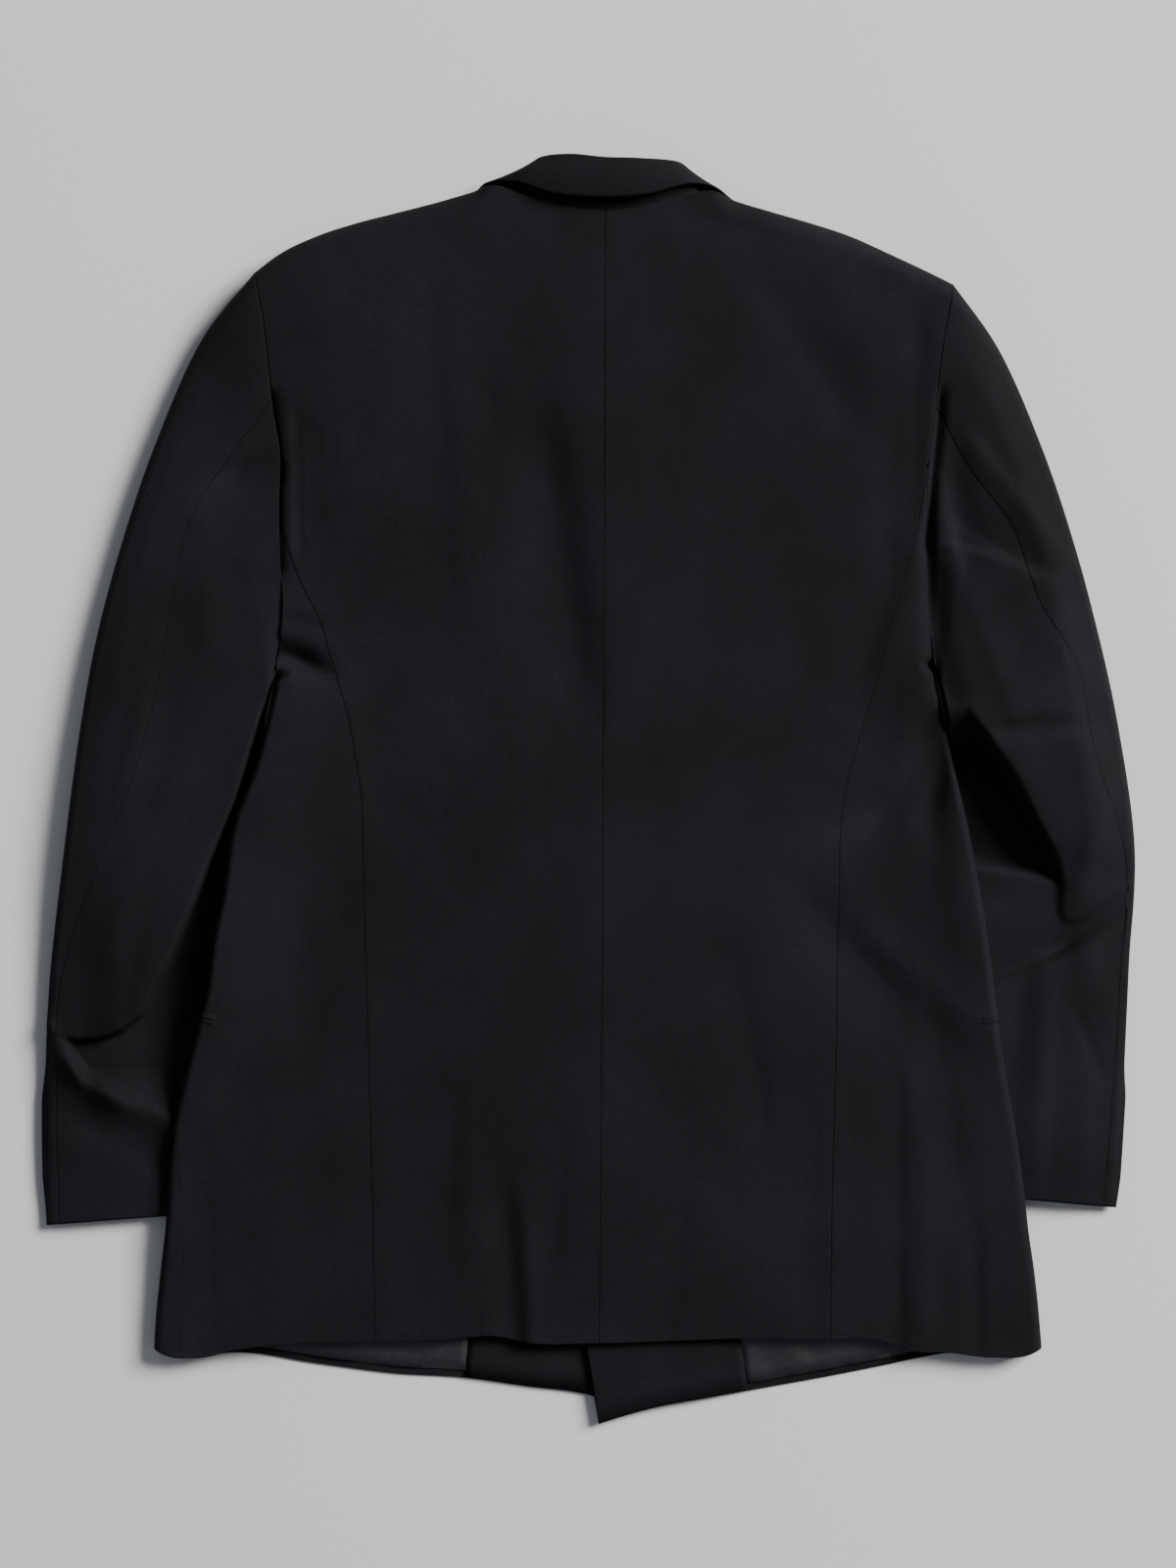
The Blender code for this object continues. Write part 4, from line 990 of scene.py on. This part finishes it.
def collar_grid(rows_of, inner, outer, crown, rows=150, columns=16):
    """A strip between two of a collar table's lines, named by their letters, and arched by a crown."""
    knots = np.linspace(0, 1, len(rows_of["fx"]))
    v = np.linspace(0, 1, rows)
    start, end = [
        np.stack([through(v, knots, rows_of[edge + axis]) for axis in "xyz"], axis=-1)
        for edge in (inner, outer)
    ]
    u = np.linspace(0, 1, columns)[None, :, None]
    strip = start[:, None] + (end - start)[:, None] * u
    strip[..., 2] += crown * np.sin(np.pi * u[..., 0]) * ease(strip[..., 2], *CROWNED)
    return strip


# Across the pocket, from its lower to its upper rim: the place, and how far the jets stand out there
JETS = table(
    "half proud",
    (-1, 0), (-0.7, 0.35), (-0.35, 0.7), (-0.15, 0.85), (-0.1, 0.15), (0.1, 0.15), (0.15, 0.85),
    (0.35, 0.7), (0.7, 0.35), (1, 0),
)
# The rims are let into the panel by this much, and on top the jets run out over the last millimetres
JETS_SUNK = 0.1
JETS_END = 4
# How steeply the pocket slopes on top
POCKET_SLOPE = 0.25


def pocket_grid(name, panel, front):
    """The jets of the pocket: a strip round the side edge, made from the panels' points and moved out.

    The slit is between the two jets. On top the strip slopes down towards the back.
    """
    side = SIDES[name]
    columns = [grid[:, j] for grid in (panel, front) for j in range(grid.shape[1])]
    columns = [column[np.argsort(column[:, 1])] for column in columns]
    edge = float(line(side["edge"], np.array(POCKET["y"])))
    crossing = [np.interp(POCKET["y"], column[:, 1], column[:, 0]) for column in columns]
    out = side["sign"] * np.array(crossing)
    on_top = np.arange(out.size) < np.argmax(out)
    drop = POCKET_SLOPE * (edge - out) * on_top
    ys = POCKET["y"] + POCKET["height"] / 2 * JETS["half"][:, None] - drop
    strip = np.stack([
        np.stack([np.interp(ys[:, j], column[:, 1], column[:, axis]) for axis in range(3)], axis=-1)
        for j, column in enumerate(columns)
    ], axis=1)
    count = panel.shape[1]
    inner_end = edge - POCKET["on_top"]
    on_side = np.flatnonzero(out[:count] > inner_end)
    on_front = count + np.flatnonzero(out[count:] > edge - POCKET["underneath"])
    strip = strip[:, np.concatenate([on_side, on_front])]
    normal = np.cross(np.gradient(strip, axis=1), np.gradient(strip, axis=0))
    normal /= np.linalg.norm(normal, axis=-1, keepdims=True)
    # The last column lies underneath, so there the outer side faces down
    normal *= np.where(normal[0, -1, 2] < 0, 1, -1)
    ends = np.ones(strip.shape[1])
    ends[: len(on_side)] = ease(out[on_side], inner_end, inner_end + JETS_END)
    proud = JETS["proud"][:, None] * ends - JETS_SUNK
    return strip + proud[..., None] * normal


# %% [markdown]
# ## From a grid to cloth
#
# The cloth's outer side is the grid. Near its edges it rolls in, as it does at a seam, and small waves make
# the seam pucker. The inner side is the same grid, moved in by the thickness.


# %%
def arc(points, axis):
    """Distance along each row or column of a grid."""
    steps = np.linalg.norm(np.diff(points, axis=axis), axis=-1)
    start = np.zeros_like(np.take(steps, [0], axis=axis))
    return np.concatenate([start, np.cumsum(steps, axis=axis)], axis=axis)


def outward(points, faces_up):
    """Unit normals of a grid, pointing out of the jacket."""
    normal = np.cross(np.gradient(points, axis=1), np.gradient(points, axis=0))
    normal /= np.maximum(np.linalg.norm(normal, axis=-1, keepdims=True), 1e-9)
    middle = normal[normal.shape[0] // 2, normal.shape[1] // 2, 2]
    return normal if (middle > 0) == faces_up else -normal


# A seam puckers in three waves: how high each is, its length in mm divided by 2 pi, and where it starts
PUCKER = table("height length start", (1.0, 17.0, 0.0), (0.7, 9.1, 1.7), (0.5, 5.3, 4.1))
SEED_TURN = 2.3


def wander(s, seed):
    """A slow irregular wave from -1 to 1 along s, in mm."""
    total = 0.0
    for height, length, start in zip(*PUCKER.values()):
        total = total + height * np.sin(s / length + (start + SEED_TURN * seed))
    return total / PUCKER["height"].sum()


# How deep the roll and the lean of a seam are, and how far they reach from it
SEAM_ROLL = {"depth": 0.42, "reach": 0.6}
SEAM_LEAN = {"depth": 0.34, "reach": 5.0, "even": 0.8, "uneven": 0.4}


def roll_in(points, faces_up, edges, seed):
    """The grid with its edges let into the seams: its first or last column turns down by (roll, lean).

    The roll is a narrow bell at the edge, and the lean is a wide one that a slow wave makes uneven.
    """
    normal = outward(points, faces_up)
    u, v = arc(points, 1), arc(points, 0)
    depth = np.zeros(points.shape[:2])
    for i, (edge, (roll, lean)) in enumerate(edges.items()):
        away = u if edge == "first" else u[:, -1:] - u
        waves = SEAM_LEAN["even"] + SEAM_LEAN["uneven"] * wander(v, seed + i)
        depth += roll * SEAM_ROLL["depth"] * np.exp(-((away / SEAM_ROLL["reach"]) ** 2))
        depth += lean * SEAM_LEAN["depth"] * waves * np.exp(-((away / SEAM_LEAN["reach"]) ** 2))
    return points - depth[..., None] * normal


def cloth(name, points, thickness, finish, faces_up, node):
    """A closed shell in place of a node: the grid, and the same again moved in by the thickness."""
    rows, columns = points.shape[:2]
    count = rows * columns
    inside = points - thickness * outward(points, faces_up)
    corner = (np.arange(rows - 1)[:, None] * columns + np.arange(columns - 1)[None, :]).ravel()
    outer = np.stack([corner, corner + 1, corner + columns + 1, corner + columns], axis=1)
    # The grid's edge, once round, for the wall between the two sides
    ring = np.concatenate([
        np.arange(columns),
        np.arange(1, rows) * columns + columns - 1,
        (rows - 1) * columns + np.arange(columns - 2, -1, -1),
        np.arange(rows - 2, 0, -1) * columns,
    ])
    after = np.roll(ring, -1)
    wall = np.stack([after, ring, ring + count, after + count], axis=1)
    quads = np.concatenate([outer, outer[:, ::-1] + count, wall])
    # Every face has to look out of the shell
    cross = np.cross(np.gradient(points, axis=1), np.gradient(points, axis=0))
    if not np.sum(cross * outward(points, faces_up)) > 0:
        quads = quads[:, ::-1]
    vertices = (np.concatenate([points.reshape(-1, 3), inside.reshape(-1, 3)]) + CENTRING) * MM
    mesh = bpy.data.meshes.new(name)
    mesh.vertices.add(len(vertices))
    mesh.vertices.foreach_set("co", vertices.ravel())
    mesh.loops.add(quads.size)
    mesh.loops.foreach_set("vertex_index", quads.ravel())
    mesh.polygons.add(len(quads))
    mesh.polygons.foreach_set("loop_start", np.arange(0, quads.size, 4))
    mesh.update(calc_edges=True)
    mesh.shade_smooth()
    flat = np.stack([arc(points, 1), arc(points, 0)], axis=-1).reshape(-1, 2) * MM
    uv = np.concatenate([flat, flat])[quads.ravel()]
    mesh.uv_layers.new(name="cloth").data.foreach_set("uv", uv.ravel())
    mesh.materials.append(MATERIALS[finish])
    piece = bpy.data.objects.new(name, mesh)
    bpy.context.scene.collection.objects.link(piece)
    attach(piece, "root")
    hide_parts(node)
    return piece


# %% [markdown]
# ## Materials
#
# The wool is a fine twill: close slanting bands across the cloth's own UV, which is in metres, with softer
# clouds for the nap. The satin and the lining are smoother and shinier. All of them are nearly black.


# %%
def node(tree, kind, inputs=None, **settings):
    """A new node with these settings and input values. An input that is a socket is linked."""
    made = tree.nodes.new(kind)
    for key, value in settings.items():
        setattr(made, key, value)
    for key, value in (inputs or {}).items():
        if isinstance(value, bpy.types.NodeSocket):
            tree.links.new(value, made.inputs[key])
        else:
            made.inputs[key].default_value = value
    return made


def mixed(tree, factor, dark, light):
    """A colour between dark and light, by a factor socket."""
    ramp = node(tree, "ShaderNodeMix", data_type="RGBA")
    tree.links.new(factor, ramp.inputs[0])
    ramp.inputs[6].default_value = (*dark, 1)
    ramp.inputs[7].default_value = (*light, 1)
    return ramp.outputs[2]


# Noise in a piece's own space: the grain of the yarn, the nap, and clouds that make the cloth uneven
GRAIN = {"Scale": 700.0, "Detail": 2.0, "Roughness": 0.8}
NAP = {"Scale": 9.0, "Detail": 4.0, "Roughness": 0.55}
CLOUDS = {"Scale": 38.0, "Detail": 3.0, "Roughness": 0.5}
BUTTON_GRAIN = {"Scale": 160.0, "Detail": 3.0}
# The bands of the weave, before they are scaled
BANDS = {"Scale": 1.0, "Distortion": 0.6, "Detail": 1.0}
# Grain times nap goes from the dark colour to the light one between these values
TONE_RANGE = (0.12, 0.42)
# How high the bumps of the weave and the clouds are, in metres
WEAVE_HEIGHT = 0.0003
CLOUD_HEIGHT = 0.002
BUTTON_ROUGHNESS = 0.22


def noise(tree, settings):
    """Noise with these settings in the object's own space, as a socket."""
    place = node(tree, "ShaderNodeTexCoord").outputs["Object"]
    return node(tree, "ShaderNodeTexNoise", {"Vector": place, **settings}).outputs["Fac"]


def bump(tree, strength, distance, height, **more):
    """A bump that follows a height socket, as a socket."""
    inputs = {"Strength": strength, "Distance": distance, "Height": height, **more}
    return node(tree, "ShaderNodeBump", inputs).outputs[0]


def cloth_material(name, dark, light, roughness, specular, weave, weave_bump, cloud_bump):
    """A woven cloth, with fine bumps that follow the weave and softer ones like clouds."""
    made = bpy.data.materials.new(name)
    made.use_nodes = True
    tree = made.node_tree
    shader = tree.nodes["Principled BSDF"]
    uv = node(tree, "ShaderNodeUVMap", uv_map="cloth").outputs[0]
    across, along, slant = weave
    turned = {"Vector": uv, "Scale": (across, along, 1), "Rotation": (0, 0, slant)}
    scaled = node(tree, "ShaderNodeMapping", turned).outputs[0]
    bands = node(tree, "ShaderNodeTexWave", {"Vector": scaled, **BANDS}, wave_type="BANDS")
    fibres = {0: noise(tree, GRAIN), 1: noise(tree, NAP)}
    both = node(tree, "ShaderNodeMath", fibres, operation="MULTIPLY").outputs[0]
    tone = node(tree, "ShaderNodeMapRange", {0: both, 1: TONE_RANGE[0], 2: TONE_RANGE[1]})
    tree.links.new(mixed(tree, tone.outputs[0], dark, light), shader.inputs["Base Color"])
    shader.inputs["Roughness"].default_value = roughness
    shader.inputs["Specular IOR Level"].default_value = specular
    fine = bump(tree, weave_bump, WEAVE_HEIGHT, bands.outputs["Fac"])
    soft = bump(tree, cloud_bump, CLOUD_HEIGHT, noise(tree, CLOUDS), Normal=fine)
    tree.links.new(soft, shader.inputs["Normal"])
    return made


def button_material():
    """Polished black with a faint grain."""
    made = bpy.data.materials.new("button")
    made.use_nodes = True
    tree = made.node_tree
    shader = tree.nodes["Principled BSDF"]
    colour = mixed(tree, noise(tree, BUTTON_GRAIN), (0.006, 0.006, 0.007), (0.014, 0.014, 0.015))
    tree.links.new(colour, shader.inputs["Base Color"])
    shader.inputs["Roughness"].default_value = BUTTON_ROUGHNESS
    return made


# Threads per metre across and along, and their slant
TWILL = (3200.0, 3200.0, 0.9)
SMOOTH_WEAVE = (2600.0, 900.0, 0.0)
MATERIALS = {
    "wool": cloth_material(
        "wool", dark=(0.0040, 0.0041, 0.0049), light=(0.0105, 0.0108, 0.0127),
        roughness=0.8, specular=0.1, weave=TWILL, weave_bump=0.3, cloud_bump=0.12,
    ),
    "satin": cloth_material(
        "satin", dark=(0.0070, 0.0070, 0.0075), light=(0.010, 0.010, 0.0108),
        roughness=0.34, specular=0.5, weave=SMOOTH_WEAVE, weave_bump=0.12, cloud_bump=0.06,
    ),
    "lining": cloth_material(
        "lining", dark=(0.0105, 0.0105, 0.011), light=(0.0255, 0.0255, 0.027),
        roughness=0.32, specular=0.5, weave=SMOOTH_WEAVE, weave_bump=0.15, cloud_bump=0.6,
    ),
    "button": button_material(),
}

# %% [markdown]
# ## The pieces
#
# Every piece of cloth is made from its own grid as a closed shell, which takes the place of its solid.


# How much each panel turns down (roll, lean) at its first and last column. Of two panels that meet, mostly
# the one on the lamp's side turns down, so that its edge shades the seam.
SEAMS = {
    "back_left": {"first": (0.0, 0.6), "last": (0.45, 0.4)},
    "back_right": {"first": (0.5, 0.4), "last": (0.0, 0.6)},
    "side_left": {"first": (0.0, 0.6)},
    "side_right": {"first": (0.5, 0.5)},
    "front_left": {"first": (0.0, 0.0), "last": (0.4, 0.4)},
    "front_right": {"first": (0.3, 0.5), "last": (0.4, 0.4)},
    "under_sleeve_left": {"first": (0.2, 0.2)},
    "top_sleeve_left": {"first": (0.0, 0.2)},
    "under_sleeve_right": {"first": (0.0, 0.8)},
    "top_sleeve_right": {"first": (0.7, 0.6)},
}

grids = {}
for name in SIDES:
    panel, front = side_grid(name), front_grid(name)
    under, top = sleeve_grids(name)
    grids["back_" + name] = back_grid(name)
    grids["side_" + name] = panel
    grids["front_" + name] = front
    grids["facing_" + name] = inner_grid(name, front, "facing")
    grids["lining_" + name] = inner_grid(name, front, "lining")
    grids["lapel_" + name] = lapel_grid(name)
    grids["pocket_jets_" + name] = pocket_grid(name, panel, front)
    grids["under_sleeve_" + name] = under
    grids["top_sleeve_" + name] = top
grids["collar_fall"] = collar_grid(FALL, "f", "e", COLLAR_CROWN)
grids["collar_stand"] = collar_grid(STAND, "f", "n", 0.0)

# By the first word of a piece's name: those whose outer side faces up, and what isn't of plain wool
UPWARD = ("back", "side", "facing", "lining", "under", "collar")
THICKNESS = {"lapel": SATIN, "facing": LINING, "lining": LINING, "pocket": JETS_SHELL}
FINISH = {"lapel": "satin", "lining": "lining"}
for number, (name, points) in enumerate(grids.items()):
    kind = name.split("_")[0]
    faces_up = kind in UPWARD
    points = roll_in(points, faces_up, SEAMS.get(name, {}), seed=number)
    thickness = THICKNESS.get(kind, WOOL_SHELL)
    piece = cloth(name + "_cloth", points, thickness, FINISH.get(kind, "wool"), faces_up, name)

# The buttons stay as the solids made them
for name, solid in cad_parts.items():
    if "button" in name:
        for socket in solid.material_slots:
            socket.material = MATERIALS["button"]


# %% [markdown]
# ## Floor and light
#
# A plain pale floor, one large soft lamp to the upper right, and a pale sky.

# %%
FLOOR_SIZE = 6.0
FLOOR_DROP = 0.0004
FLOOR_COLOUR = (0.66, 0.64, 0.61)
FLOOR_ROUGHNESS = 0.7
SKY_COLOUR = (0.80, 0.86, 1.0)
SKY_STRENGTH = 0.26

bpy.ops.mesh.primitive_plane_add(size=FLOOR_SIZE, location=(0, 0, -FLOOR_DROP))
floor = bpy.context.object
floor.name = "floor"
paint = bpy.data.materials.new("floor")
paint.use_nodes = True
paint_shader = paint.node_tree.nodes["Principled BSDF"]
paint_shader.inputs["Base Color"].default_value = (*FLOOR_COLOUR, 1)
paint_shader.inputs["Roughness"].default_value = FLOOR_ROUGHNESS
floor.data.materials.append(paint)


def lamp(name, place, target, size, power):
    """A square area light that looks from place to target."""
    light = bpy.data.lights.new(name, "AREA")
    light.size = size
    light.energy = power
    made = bpy.data.objects.new(name, light)
    made.location = place
    away = np.array(place) - np.array(target)
    level = math.hypot(away[0], away[1])
    made.rotation_euler = (math.atan2(level, away[2]), 0, math.atan2(away[0], -away[1]))
    bpy.context.scene.collection.objects.link(made)


lamp("Window", place=(7.4, 4.3, 5.4), target=(0, 0, 0), size=4.2, power=2420)
world = bpy.data.worlds.new("Room")
world.use_nodes = True
sky = world.node_tree.nodes["Background"]
sky.inputs["Color"].default_value = (*SKY_COLOUR, 1)
sky.inputs["Strength"].default_value = SKY_STRENGTH
bpy.context.scene.world = world
